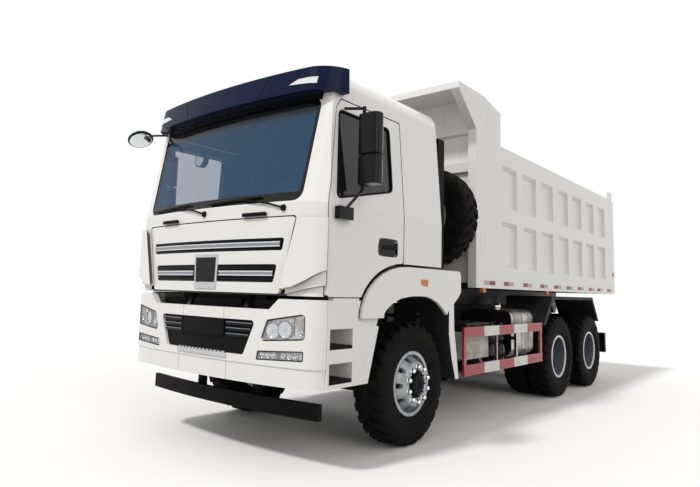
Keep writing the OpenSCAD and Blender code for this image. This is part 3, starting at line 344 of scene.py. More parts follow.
def rolled_sheet(wire):
    """Dull tank sheet with fine marks along the truck."""
    spot = place_of(wire)
    brush = noise(stretched(spot, (60.0, 2.0, 60.0)), 6.0, 4.0)
    stain = noise(spot, 5.0, 5.0).over(0.55, 0.12)
    return {"Base Color": (stain * 0.5).mix(rgb(0.52, 0.51, 0.48), rgb(0.24, 0.21, 0.17)),
            "Roughness": 0.20 + brush * 0.16 + stain * 0.2,
            "Normal": bumped(brush, 0.10, 0.0008)}


def tank_sheet(wire):
    """Fuel tank: sheet along the sides, near-black painted shade on the end plates."""
    paint = rolled_sheet(wire)
    start, end = (edge + FRONT_AXLE_Y for edge in TANK_SHEET_Y)
    # Painted shade: the end plates are painted near-black and lose their metal
    shown = place_of(wire).axis("Y").between(start, end, 0.001)
    return {**paint, "Base Color": shown.mix(BLACK_AND_PAINTED_SHADE, paint["Base Color"]), "Metallic": shown * 0.92}


def light_grey(wire):
    spot = place_of(wire)
    stain = noise(spot, 6.0, 5.0).over(0.55, 0.14)
    return {"Base Color": (stain * 0.6).mix(rgb(0.55, 0.54, 0.51), rgb(0.27, 0.24, 0.20)),
            "Roughness": 0.45 + stain * 0.25,
            "Normal": bumped(noise(spot, 70.0), 0.10, 0.0015)}


def box_paint(wire):
    """Battery box: grey sides under a black lid."""
    paint = light_grey(wire)
    lid = place_of(wire).axis("Z").over(BOX_LID_Z, 0.001)
    return {**paint, "Base Color": lid.mix(paint["Base Color"], BLACK_AND_PAINTED_SHADE)}


def guard_paint(wire):
    """Red guard with two white patches on each rail, black behind."""
    spot = place_of(wire)
    along = spot.axis("Y") - FRONT_AXLE_Y + (noise(spot, 26.0) - 0.5) * 0.014
    first, second = (along.between(start, end, 0.006) for start, end in GUARD_PATCHES)
    paint = (first + second).mix(rgb(0.36, 0.018, 0.028), rgb(0.72, 0.72, 0.70))
    film = noise(spot, 8.0, 5.0).over(0.56, 0.14) * 0.18
    shown = abs(spot.axis("X")).over(GUARD_BACK_X, 0.0005)
    return {"Base Color": shown.mix(BLACK_AND_PAINTED_SHADE, film.mix(paint, DUST)), "Roughness": 0.36 + film * 0.7,
            "Normal": bumped(noise(spot, 120.0), 0.08, 0.001)}


def fender_plastic(wire):
    spot = place_of(wire)
    grain = noise(spot, 420.0, 2.0)
    film = noise(spot, 4.0, 5.0).over(0.50, 0.16)
    # Slate plastic, its base made darker to paint in the shade the fenders sit in
    return {"Base Color": (film * 0.5).mix(rgb(0.019, 0.021, 0.025), rgb(0.045, 0.045, 0.044)),
            "Roughness": 0.55 + film * 0.2, "Normal": bumped(grain, 0.2, 0.0012)}


def tyre_black(wire):
    spot = place_of(wire)
    dust = noise(spot, 9.0, 6.0, 0.65).over(0.57, 0.14)
    return {"Base Color": (dust * 0.4).mix(rgb(0.0065, 0.0065, 0.007), rgb(0.030, 0.027, 0.024)),
            "Roughness": 0.66 + dust * 0.2, "Normal": bumped(noise(spot, 240.0, 3.0), 0.25, 0.0015)}


def rim_paint(base, soil):
    def recipe(wire):
        spot = place_of(wire)
        film = noise(spot, 13.0, 6.0, 0.65).over(0.55, 0.13)
        return {"Base Color": (film * 0.45).mix(base, soil), "Roughness": 0.32 + film * 0.3,
                "Normal": bumped(noise(spot, 160.0), 0.08, 0.001)}
    return recipe


def screen_glass(wire):
    """Tinted windshield with a black printed border, a broad printed foot and a band of painted visor shade
    on top.
    """
    spot = place_of(wire)
    x, z = spot.axis("X"), spot.axis("Z")
    low, high = SCREEN_Z
    half_low, half_high = SCREEN_HALVES
    half_z = (high - low) / 2
    half_x = half_low + (z - low) * ((half_high - half_low) / (high - low))
    out_x = abs(x) - half_x + SCREEN_CORNER
    out_z = abs(z - (low + half_z)) - (half_z - SCREEN_CORNER)
    clip_x = wire.math("MAXIMUM", out_x, 0.0)
    clip_z = wire.math("MAXIMUM", out_z, 0.0)
    round_part = wire.math("SQRT", clip_x * clip_x + clip_z * clip_z)
    flat_part = wire.math("MINIMUM", wire.math("MAXIMUM", out_x, out_z), 0.0)
    border = (round_part + flat_part - SCREEN_CORNER).over(-SCREEN_BORDER, 0.0025)
    foot = 1 - z.over(low + SCREEN_FOOT, 0.003)
    # Painted shade: the visor's shadow darkens and thickens the top of the glass
    visor_shade = z.over(high - SHADE_BAND, 0.06)
    printed = wire.math("MAXIMUM", border, foot)
    glass = visor_shade.mix(rgb(0.054, 0.128, 0.250), rgb(0.018, 0.022, 0.026))
    return {"Base Color": printed.mix(glass, DEEP_BLACK),
            "Alpha": wire.math("MAXIMUM", 0.34 + visor_shade * 0.45, printed),
            "Roughness": 0.04 + noise(spot, 30.0) * 0.03}


def pane_glass(clear):
    def recipe(wire):
        spot = place_of(wire)
        smear = noise(spot, 7.0, 4.0)
        return {"Base Color": smear.mix(rgb(0.007, 0.008, 0.010), rgb(0.012, 0.013, 0.015)),
                "Alpha": (1 - clear) + smear * 0.05, "Roughness": 0.04 + smear * 0.05}
    return recipe


def navy_gloss(wire):
    spot = place_of(wire)
    film = noise(spot, 5.0, 4.0).over(0.58, 0.12)
    return {"Base Color": (film * 0.25).mix(rgb(0.003, 0.0085, 0.036), rgb(0.010, 0.017, 0.040)),
            "Roughness": 0.17 + film * 0.15, "Normal": bumped(noise(spot, 260.0), 0.04, 0.0006)}


def trim_grey(wire):
    spot = place_of(wire)
    grain = noise(spot, 600.0, 2.0)
    return {"Base Color": noise(spot, 6.0).mix(rgb(0.045, 0.046, 0.050), rgb(0.070, 0.070, 0.074)),
            "Roughness": 0.6 + grain * 0.1, "Normal": bumped(grain, 0.25, 0.001)}


def bright_metal(base, dull):
    def recipe(wire):
        spot = place_of(wire)
        marks = noise(spot, 40.0, 5.0)
        return {"Base Color": (marks * 0.4).mix(base, rgb(0.45, 0.45, 0.46)),
                "Roughness": dull + marks * 0.08}
    return recipe


def lens(tint, clear):
    def recipe(wire):
        spot = place_of(wire)
        ribs = noise(stretched(spot, (40.0, 40.0, 8.0)), 4.0)
        shade = rgb(*(channel * 0.8 for channel in tint[:3]))
        return {"Base Color": ribs.mix(tint, shade), "Roughness": 0.05 + ribs * 0.06,
                "Alpha": (1 - clear) + ribs * 0.08, "Normal": bumped(ribs, 0.2, 0.002)}
    return recipe


def foil(base, line):
    """Reflective foil with a fine honeycomb."""
    def recipe(wire):
        cells = wire.node("ShaderNodeTexVoronoi", {"feature": "DISTANCE_TO_EDGE"},
                          {"Vector": place_of(wire), "Scale": 160.0})
        edge = 1 - cells.over(0.06, 0.03)
        return {"Base Color": edge.mix(base, line), "Roughness": 0.32 + edge * 0.2}
    return recipe


white_paint = finish("white_paint", gloss_white, coat_weight=0.5, coat_roughness=0.06)
white_bed = finish("white_bed", bed_white, coat_weight=0.2, coat_roughness=0.2)
matt_black = finish("matt_black", grained_black, specular_ior_level=0.06)
black_gloss = finish("black_gloss", gloss_black, specular_ior_level=0.18)
tyre_rubber = finish("tyre_rubber", tyre_black, specular_ior_level=0.05)
rim_silver = finish("rim_silver", rim_paint(rgb(0.41, 0.425, 0.46), rgb(0.20, 0.19, 0.17)), metallic=0.55)
# Blue-grey rear rims, their base made lighter to paint in the reflection in their dishes
rim_dark = finish("rim_dark", rim_paint(rgb(0.150, 0.170, 0.225), rgb(0.11, 0.105, 0.10)), metallic=0.3)
chrome = finish("chrome", bright_metal(rgb(0.80, 0.81, 0.83), 0.06), metallic=1.0)
dark_chrome = finish("dark_chrome", bright_metal(rgb(0.24, 0.26, 0.30), 0.10), metallic=1.0)
# Headlamp tray: a pale, mostly diffuse silver, made bright to paint in the chrome reflector's reflection in
# the shaded lamp pocket
lamp_silver = finish("lamp_silver", bright_metal(rgb(0.86, 0.87, 0.88), 0.26), metallic=0.35)
steel = finish("steel", bright_metal(rgb(0.56, 0.57, 0.58), 0.30), metallic=0.9)
clear_lens = finish("clear_lens", lens(rgb(0.80, 0.82, 0.85), 0.85))
amber_lens = finish("amber_lens", lens(rgb(0.75, 0.22, 0.02), 0.10))
pale_amber = finish("pale_amber", lens(rgb(0.72, 0.50, 0.38), 0.55))
red_lens = finish("red_lens", lens(rgb(0.42, 0.010, 0.012), 0.08))
lamp_white = finish("lamp_white", lens(rgb(0.85, 0.87, 0.90), 0.05))
red_foil = finish("red_foil", foil(rgb(0.22, 0.008, 0.011), rgb(0.15, 0.006, 0.008)))
white_foil = finish("white_foil", foil(rgb(0.42, 0.42, 0.40), rgb(0.32, 0.32, 0.31)))
mirror_face = finish("mirror_face", bright_metal(rgb(0.86, 0.88, 0.90), 0.02), metallic=1.0)
door_pane = finish("door_pane", pane_glass(0.10))
far_pane = finish("far_pane", pane_glass(0.85))

FINISHES = {
    "white_paint": white_paint, "matt_black": matt_black, "tyre_rubber": tyre_rubber,
    "rim_silver": rim_silver, "rim_dark": rim_dark, "lamp_glass": clear_lens, "tail_red": red_lens,
    "tinted_glass": finish("tinted_glass", screen_glass, specular_ior_level=0.3),
    "chassis_grey": finish("chassis_grey", chassis_paint, specular_ior_level=0.25),
    "tank_silver": finish("tank_silver", rolled_sheet, metallic=0.92),
    "box_grey": finish("box_grey", light_grey),
    "guard_red": finish("guard_red", guard_paint, coat_weight=0.2),
    "fender_grey": finish("fender_grey", fender_plastic, specular_ior_level=0.2),
    "visor_navy": finish("visor_navy", navy_gloss, specular_ior_level=0.08),
    "cab_grey": finish("cab_grey", trim_grey),
    "hoist_paint": finish("hoist_paint", chassis_paint, specular_ior_level=0.25),
    "hoist_chrome": chrome,
}
cab_paint = finish("cab_paint", cab_white, coat_roughness=0.06)
fender_paint = finish("fender_paint", outer_white(FENDER_BACK_X), coat_roughness=0.06)
OWN_FINISH = {
    # The bed floor and the spare carrier get painted shade under them
    "bed_floor": finish("bed_floor_paint", white_over_painted_shade(BED_PLATE_Z)),
    "bed_sides": white_bed, "bed_headboard": white_bed, "tailgate": white_bed,
    "spare_carrier": finish("carrier_paint", white_over_painted_shade(CARRIER_FOOT_Z)),
    "door_glass_left": door_pane, "door_glass_right": far_pane,
    "mirror_left": black_gloss, "mirror_right": black_gloss, "tail_lamps": matt_black,
    "cab_shell": cab_paint, "door_left": cab_paint, "door_right": cab_paint,
    "front_fenders": fender_paint, "fuel_tank": finish("tank_paint", tank_sheet),
    "battery_box": finish("box_paint", box_paint),
}
for row in frame["record"]["subparts"]:
    cad = nodes[row["node"]].data.materials
    cad.clear()
    cad.append(OWN_FINISH.get(row["node"], FINISHES[row["material_slot"]]))


# Mesh making
def put(name, bm, body, material, bevel=0.0, smooth=False, wall=0.0):
    """Turns a bmesh into a piece that rides on a body."""
    bmesh.ops.recalc_face_normals(bm, faces=bm.faces)
    mesh = bpy.data.meshes.new(name)
    bm.to_mesh(mesh)
    bm.free()
    mesh.materials.append(material)
    obj = bpy.data.objects.new(name, mesh)
    bpy.context.scene.collection.objects.link(obj)
    if smooth:
        mesh.shade_smooth()
    if wall:
        solid = obj.modifiers.new("wall", "SOLIDIFY")
        solid.thickness = wall
        solid.offset = 0.0
    if bevel:
        edge = obj.modifiers.new("edge", "BEVEL")
        edge.width = bevel
        edge.segments = 2
        edge.limit_method = "ANGLE"
    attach(obj, body)
    return obj


def prism(bm, outline, depth):
    """Closed solid from a flat outline moved by the vector depth."""
    near = [bm.verts.new(p) for p in outline]
    away = [bm.verts.new(p + depth) for p in outline]
    bm.faces.new(near)
    bm.faces.new(away)
    count = len(outline)
    for i in range(count):
        bm.faces.new((near[i], near[(i + 1) % count], away[(i + 1) % count], away[i]))


def block(bm, low, high):
    corners = ((low.x, low.y), (high.x, low.y), (high.x, high.y), (low.x, high.y))
    prism(bm, [Vector((x, y, low.z)) for x, y in corners], UP * (high.z - low.z))


def side_block(bm, side, across, along, height):
    """Block on one side of the truck; across is measured from its middle plane."""
    near, away = sorted(side * x for x in across)
    block(bm, at(near, along[0], height[0]), at(away, along[1], height[1]))


def side_plate(bm, side, x, thick, outline):
    """Plate from a (y, z) outline at x from the truck's middle plane, thickened outward."""
    prism(bm, [at(side * x, y, z) for y, z in outline], AXLE_X * side * thick)


def quad(x0, z0, x1, z1):
    """Corners of an upright rectangle, anticlockwise."""
    return (x0, z0), (x1, z0), (x1, z1), (x0, z1)


def quad_about(x, z, half, half_height):
    return quad(x - half, z - half_height, x + half, z + half_height)


def patch(bm, face, corners, near, deep, across=10, up=4):
    """Slab that follows a front surface between two depths; corners are (x, z), anticlockwise."""
    a, b, c, d = (Vector(p) for p in corners)
    sheets = []
    for depth in (near, deep):
        sheet = []
        for j in range(up + 1):
            left = a.lerp(d, j / up)
            right = b.lerp(c, j / up)
            spots = [left.lerp(right, i / across) for i in range(across + 1)]
            sheet.append([bm.verts.new(face(p.x, p.y, depth)) for p in spots])
        sheets.append(sheet)
    for sheet in sheets:
        for j in range(up):
            for i in range(across):
                bm.faces.new((sheet[j][i], sheet[j][i + 1], sheet[j + 1][i + 1], sheet[j + 1][i]))
    front, back = sheets
    for i in range(across):
        for j in (0, up):
            bm.faces.new((front[j][i], front[j][i + 1], back[j][i + 1], back[j][i]))
    for j in range(up):
        for i in (0, across):
            bm.faces.new((front[j][i], front[j + 1][i], back[j + 1][i], back[j][i]))


def lathe(bm, profile, placing, steps=32):
    """Revolves (radius, height) points round the placing's Z; a radius of 0 closes an end."""
    rings = []
    for radius, height in profile:
        if radius == 0:
            rings.append([bm.verts.new(placing @ Vector((0, 0, height)))])
            continue
        turn = [2 * math.pi * i / steps for i in range(steps)]
        rings.append([bm.verts.new(placing @ Vector((radius * math.cos(t), radius * math.sin(t), height)))
                      for t in turn])
    for lower, upper in zip(rings, rings[1:]):
        for i in range(steps):
            ends = [lower[i % len(lower)], lower[(i + 1) % len(lower)],
                    upper[(i + 1) % len(upper)], upper[i % len(upper)]]
            bm.faces.new(list(dict.fromkeys(ends)))


def facing(spot, direction):
    """Placing whose Z looks along direction."""
    return Matrix.Translation(spot) @ direction.to_track_quat("Z", "Y").to_matrix().to_4x4()


def tube(bm, path, radius, steps=12):
    """Round bar through the points of path, with closed ends."""
    rings = []
    for i, spot in enumerate(path):
        ahead = path[min(i + 1, len(path) - 1)] - path[max(i - 1, 0)]
        placing = facing(spot, ahead)
        rings.append([bm.verts.new(placing @ Vector((radius * math.cos(a), radius * math.sin(a), 0)))
                      for a in (2 * math.pi * k / steps for k in range(steps))])
    for lower, upper in zip(rings, rings[1:]):
        for k in range(steps):
            bm.faces.new((lower[k], lower[(k + 1) % steps], upper[(k + 1) % steps], upper[k]))
    bm.faces.new(rings[0])
    bm.faces.new(rings[-1])


# Tyres: lugs that alternate from side to side, cut into the casing
LUG_PITCHES = 26
LUG_SHARE = 0.60
LUG_DEPTH = 0.022
LUG_STATIONS = (-0.015, 0.015, 0.085, 0.115, 0.30, 0.485, 0.515, 0.585, 0.615, 0.80)
LUG_SLANT = 0.55
TREAD_HALF = 0.113
RIB_HALF = 0.022
# Half of the casing from the middle of the tread to the bead: place across, radius, share of lug depth
CASING = ((0.0, TYRE_R, 0.0), (0.020, TYRE_R, 0.0), (0.026, TYRE_R, 0.8), (0.055, TYRE_R, 1.0),
          (0.085, TYRE_R - 0.001, 1.0), (0.113, TYRE_R - 0.004, 1.0), (0.130, TYRE_R - 0.012, 1.0),
          (0.141, TYRE_R - 0.026, 0.9), (0.146, TYRE_R - 0.050, 0.6), (0.1475, TYRE_R - 0.068, 0.0),
          (0.1535, 0.462, 0.0), (0.155, 0.430, 0.0), (0.152, 0.390, 0.0), (0.148, 0.386, 0.0),
          (0.140, 0.345, 0.0), (0.126, 0.310, 0.0), (0.122, 0.296, 0.0), (0.108, 0.290, 0.0))


def tyre(bm, placing):
    """Casing with its axis along the placing's Z."""
    across = [(-w, r, cut) for w, r, cut in reversed(CASING[1:])] + list(CASING)
    rings = []
    for pitch in range(LUG_PITCHES):
        for station in LUG_STATIONS:
            ring = []
            for w, r, cut in across:
                phase = (station + (0.5 if w < 0 else 0.0)) % 1.0
                groove = 0.0 if phase <= LUG_SHARE or abs(w) < RIB_HALF else cut * LUG_DEPTH
                turn = (pitch + station + LUG_SLANT * abs(w) / TREAD_HALF * (1 if cut else 0)) / LUG_PITCHES
                angle = 2 * math.pi * turn
                out = r - groove
                spot = Vector((out * math.cos(angle), out * math.sin(angle), w))
                ring.append(bm.verts.new(placing @ spot))
            rings.append(ring)
    for i, ring in enumerate(rings):
        after = rings[(i + 1) % len(rings)]
        for k in range(len(ring)):
            beside = (k + 1) % len(ring)
            bm.faces.new((ring[k], ring[beside], after[beside], after[k]))


TWIN_HALF_PITCH = 0.1725
for name in SIDES:
    bm = bmesh.new()
    tyre(bm, facing(middle(f"tyre_front_{name}"), AXLE_X))
    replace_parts(put(f"lug_tyre_front_{name}", bm, f"wheel_front_{name}", tyre_rubber),
                f"tyre_front_{name}")
    for axle in ("mid", "rear"):
        bm = bmesh.new()
        for shift in (-TWIN_HALF_PITCH, TWIN_HALF_PITCH):
            tyre(bm, facing(middle(f"tyres_{axle}_{name}") + AXLE_X * shift, AXLE_X))
        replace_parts(put(f"lug_tyres_{axle}_{name}", bm, f"wheel_{axle}_{name}", tyre_rubber),
                    f"tyres_{axle}_{name}")
bm = bmesh.new()
tyre(bm, facing(middle("spare_tyre"), REARWARD))
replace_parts(put("lug_tyre_spare", bm, "chassis", tyre_rubber), "spare_tyre")


# Wheel nuts and hubs: (radius, height) profiles, heights measured outward from the wheel's middle
FRONT_WHEEL_X = 1.03
TWIN_MIDDLE_X = 0.915
STUDS = 10
HUB_BOLTS = 8
STUD_NUT, FRONT_BOLT, REAR_BOLT = 0.0165, 0.006, 0.007
# Radius of the circle and height of its nuts
FRONT_STUD_CIRCLE = (0.159, 0.186)
FRONT_BOLT_CIRCLE = (0.106, 0.174)
REAR_STUD_CIRCLE = (0.172, 0.016)
REAR_BOLT_CIRCLE = (0.082, 0.190)
NUT_COVER = ((0, -0.003), (0.0265, -0.003), (0.0265, 0.004), (0.0220, 0.007), (0.0225, 0.020),
             (0.0205, 0.031), (0.0130, 0.040), (0, 0.043))
FRONT_HUB = ((0, 0.150), (0.121, 0.150), (0.121, 0.168), (0.114, 0.176), (0.098, 0.178), (0.094, 0.196),
             (0.086, 0.203), (0.048, 0.205), (0.043, 0.199), (0, 0.199))
REAR_HUB = ((0, 0.100), (0.128, 0.100), (0.128, 0.128), (0.112, 0.138), (0.104, 0.185), (0.092, 0.196),
            (0.045, 0.198), (0.040, 0.190), (0, 0.190))
RIM_FACE = TWIN_HALF_PITCH + 0.128
RIM_EDGE = ((0.262, RIM_FACE - 0.01), (0.294, RIM_FACE - 0.01), (0.2955, RIM_FACE - 0.002),
            (0.292, RIM_FACE + 0.0015), (0.268, RIM_FACE + 0.001), (0.262, RIM_FACE - 0.01))


def hex_nut(size):
    """Profile of a nut on its washer, turned with six steps."""
    return ((0, -0.004), (size * 1.35, -0.004), (size * 1.35, 0.002), (size, 0.003), (size, 0.030),
            (size * 0.72, 0.042), (0, 0.046))


def nut_ring(bm, profile, hub, out, circle, count, steps=6, shift=0.0):
    """Nuts on a circle round the hub, all looking out; shift is a share of their pitch."""
    radius, height = circle
    for i in range(count):
        angle = 2 * math.pi * (i + shift) / count
        spot = hub + Vector((0, math.cos(angle), math.sin(angle))) * radius + out * height
        lathe(bm, profile, facing(spot, out), steps)


for name, side in SIDES.items():
    out = AXLE_X * side
    hub = Vector((side * FRONT_WHEEL_X, FRONT_AXLE_Y, HUB_Z))
    bm = bmesh.new()
    nut_ring(bm, NUT_COVER, hub, out, FRONT_STUD_CIRCLE, STUDS, steps=14, shift=0.5)
    put(f"wheel_nuts_front_{name}", bm, f"wheel_front_{name}", chrome, smooth=True)
    bm = bmesh.new()
    lathe(bm, FRONT_HUB, facing(hub, out))
    nut_ring(bm, hex_nut(FRONT_BOLT), hub, out, FRONT_BOLT_CIRCLE, HUB_BOLTS)
    put(f"hub_front_{name}", bm, f"wheel_front_{name}", matt_black)
    for axle in ("mid", "rear"):
        wheel = f"wheel_{axle}_{name}"
        hub = Vector((side * TWIN_MIDDLE_X, middle(f"rims_{axle}_{name}").y, HUB_Z))
        bm = bmesh.new()
        nut_ring(bm, hex_nut(STUD_NUT), hub, out, REAR_STUD_CIRCLE, STUDS)
        put(f"wheel_nuts_{axle}_{name}", bm, wheel, steel)
        bm = bmesh.new()
        lathe(bm, REAR_HUB, facing(hub, out))
        nut_ring(bm, hex_nut(REAR_BOLT), hub, out, REAR_BOLT_CIRCLE, HUB_BOLTS)
        put(f"hub_{axle}_{name}", bm, wheel, rim_dark)
        bm = bmesh.new()
        lathe(bm, RIM_EDGE, facing(hub, out), steps=64)
        put(f"rim_edge_{axle}_{name}", bm, wheel, steel)


# Front lid: grille bars with bright edges, dark fins and the centre frame; depths are front and back
GRILLE_BARS = ((-0.865, 0.865, 1.735, 1.780), (-0.800, -0.175, 1.502, 1.545), (0.175, 0.800, 1.502, 1.545))
BAR_SLANT = 0.010
BAR_DEPTHS = (-0.006, 0.010)
EDGE_HEIGHT = 0.009
EDGE_INSET = 0.001
EDGE_SLANT = 0.002
EDGE_DEPTHS = (-0.009, 0.0)
FIN_Z = (1.716, 1.798, 1.462, 1.478, 1.560, 1.576)
FIN_LENGTH_HALF = 0.83
FIN_HEIGHT_HALF = 0.004
FIN_DEPTHS = (0.004, 0.016)
FRAME_HALF = 0.163
FRAME_TAPER = 0.012


def bar(x0, x1, low, high, slant=0.0):
    """Corners of one bar; its ends lean out by slant."""
    return (x0 + slant, low), (x1 - slant, low), (x1, high), (x0, high)


def lid_bars(name, outlines, depths, material, bevel=0.0):
    bm = bmesh.new()
    for corners in outlines:
        patch(bm, cab_face, corners, *depths, across=24, up=1)
    put(name, bm, "front_lid", material, bevel=bevel)


def lid_plate(name, halves, heights, depths, material, bevel):
    """Plate in the middle of the lid; halves and heights are those of its lower and upper edge."""
    bm = bmesh.new()
    (half_low, half_high), (low, high) = halves, heights
    corners = ((-half_low, low), (half_low, low), (half_high, high), (-half_high, high))
    patch(bm, cab_face, corners, *depths)
    put(name, bm, "front_lid", material, bevel=bevel)


broad_bars = [bar(*row, BAR_SLANT) for row in GRILLE_BARS]
lid_bars("grille_bars", broad_bars, BAR_DEPTHS, dark_chrome, bevel=0.004)
bright_edges = [bar(x0, x1, edge, edge + EDGE_HEIGHT, EDGE_SLANT) for x0, x1, low, high in GRILLE_BARS
                for edge in (low + EDGE_INSET, high - EDGE_INSET - EDGE_HEIGHT)]
lid_bars("grille_chrome", bright_edges, EDGE_DEPTHS, chrome, bevel=0.0015)
fins = [bar(-FIN_LENGTH_HALF, FIN_LENGTH_HALF, z - FIN_HEIGHT_HALF, z + FIN_HEIGHT_HALF) for z in FIN_Z]
lid_bars("grille_fins", fins, FIN_DEPTHS, black_gloss)
lid_plate("badge_frame", (FRAME_HALF - FRAME_TAPER, FRAME_HALF), (1.412, 1.690), (-0.008, 0.016),
          steel, 0.004)
lid_plate("badge_foot", (0.142, 0.149), (1.390, 1.424), (-0.011, 0.010), steel, 0.003)
lid_plate("badge_plate", (0.128, 0.137), (1.446, 1.660), (-0.013, -0.004), black_gloss, 0.003)


# Bumper: plate holder, intake louvres with bright edges, serrated step
HOLDER_HALF = 0.285
HOLDER_Z = (1.000, 1.138)
HOLDER_DEPTHS = (0.004, 0.030)
LOUVRE_Z = (1.005, 1.052, 1.099)
LOUVRE_FLARE = 0.42
STEP_HALF = 0.335
STEP_Z = (0.833, 0.869)
STEP_DEPTHS = (-0.012, 0.014)
STEP_TEETH = 13
TEETH_REACH = 0.30
TOOTH_HALF = 0.013
TOOTH_Z = (0.868, 0.881)
TOOTH_DEPTHS = (-0.010, 0.016)


def louvres(name, inner, outer, rise, depths, material, bevel=0.0):
    """Slats on both sides of the plate holder, longer towards the top; rise is over each slat's foot."""
    bm = bmesh.new()
    for side in (-1, 1):
        for foot in LOUVRE_Z:
            reach = outer + (foot - HOLDER_Z[0]) * LOUVRE_FLARE
            x0, x1 = sorted((side * inner, side * reach))
            patch(bm, bumper_face, quad(x0, foot + rise[0], x1, foot + rise[1]), *depths, across=8, up=1)
    put(name, bm, "chassis", material, bevel=bevel)


bm = bmesh.new()
corners = quad(-HOLDER_HALF, HOLDER_Z[0], HOLDER_HALF, HOLDER_Z[1])
patch(bm, bumper_face, corners, *HOLDER_DEPTHS, across=12, up=1)
put("plate_holder", bm, "chassis", matt_black, bevel=0.006)
louvres("intake_louvres", 0.30, 0.575, (0.0, 0.026), (0.006, 0.030), black_gloss, bevel=0.005)
louvres("louvre_edges", 0.31, 0.570, (0.020, 0.0245), (0.0045, 0.012), dark_chrome)
bm = bmesh.new()
corners = quad(-STEP_HALF, STEP_Z[0], STEP_HALF, STEP_Z[1])
patch(bm, bumper_face, corners, *STEP_DEPTHS, across=16, up=1)
for i in range(STEP_TEETH):
    x = -TEETH_REACH + 2 * TEETH_REACH * i / (STEP_TEETH - 1)
    corners = quad(x - TOOTH_HALF, TOOTH_Z[0], x + TOOTH_HALF, TOOTH_Z[1])
    patch(bm, bumper_face, corners, *TOOTH_DEPTHS, across=2, up=1)
put("bumper_step", bm, "chassis", steel, bevel=0.003)


# Headlamps and fog lamps: a clear lens over a tray with bowls, and an amber end; corners are (x, z)
LAMP = ((0.706, 0.992), (1.127, 1.026), (1.127, 1.215), (0.770, 1.156))
FOG = ((0.669, 0.845), (1.120, 0.865), (1.120, 0.937), (0.683, 0.911))
LAMP_AMBER = ((1.034, 1.112), (1.092, 1.118), (1.096, 1.180), (1.040, 1.172))
# Place and radius
LAMP_BOWLS = ((0.815, 1.074, 0.060), (0.935, 1.090, 0.062), (1.000, 1.160, 0.026), (1.086, 1.082, 0.027))
FOG_BOWL_X = (0.72, 0.775, 0.83, 0.93, 0.985, 1.04)
FOG_BOWL_Z, FOG_BOWL_R = 0.888, 0.022
LAMP_BOWL_DEPTH, FOG_BOWL_DEPTH = 0.018, 0.014
FOG_POST = (0.877, 0.856, 0.885, 0.924)
LAMP_CLIPS = ((0.742, 1.012), (0.790, 1.146), (0.876, 1.150), (0.990, 1.044), (1.112, 1.046),
              (1.106, 1.194))
LAMP_CLIP = ((0, 0.0), (0.0075, 0.0), (0.0075, 0.008), (0.004, 0.012), (0, 0.012))
LAMP_FINS = ((0.868, 1.020, 0.884, 1.050), (0.866, 1.118, 0.892, 1.128), (1.008, 1.050, 1.016, 1.128),
             (0.700, 0.864, 0.868, 0.867), (0.896, 0.872, 1.100, 0.875), (0.896, 0.912, 1.100, 0.915),
             (0.700, 0.904, 0.868, 0.907))
LAMP_SPLAY = 0.25
LAMP_RIM = 0.006
TRAY_GAP = 0.002
# Front and back behind the bumper's face
LENS_DEPTHS = (0.004, 0.009)
TRAY_DEPTHS = (0.034, 0.044)
LAMP_RIM_DEPTHS = (0.0025, 0.030)
FOG_POST_DEPTHS = (0.0095, 0.030)
AMBER_DEPTHS = (0.014, 0.030)
LAMP_FIN_DEPTHS = (0.026, 0.036)
BOWL_SEAT = 0.020
CLIP_SEAT = 0.036


def sided(corners, side):
    """Corners on the given side, still anticlockwise."""
    if side > 0:
        return corners
    return tuple((-x, z) for x, z in (corners[1], corners[0], corners[3], corners[2]))


def inset(corners, gap):
    (ax, az), (bx, bz), (cx, cz), (dx, dz) = corners
    return (ax + gap, az + gap), (bx - gap, bz + gap), (cx - gap, cz - gap), (dx + gap, dz - gap)


def in_lamp(side, x, z, depth):
    """Placing in a lamp that looks ahead and a little outward."""
    return facing(bumper_face(side * x, z, depth), Vector((side * LAMP_SPLAY, -1, 0)).normalized())


def bowl(radius, depth):
    """Profile of a bowl with the cap over its bulb."""
    return ((radius, 0.0), (radius * 0.94, -0.004), (radius * 0.75, -depth * 0.5),
            (radius * 0.4, -depth * 0.9), (0.012, -depth), (0.012, -depth * 0.4), (0, -depth * 0.35))


def bowl_ring(radius):
    return ((radius, -0.001), (radius * 1.09, -0.001), (radius * 1.09, 0.003), (radius, 0.003),
            (radius, -0.001))


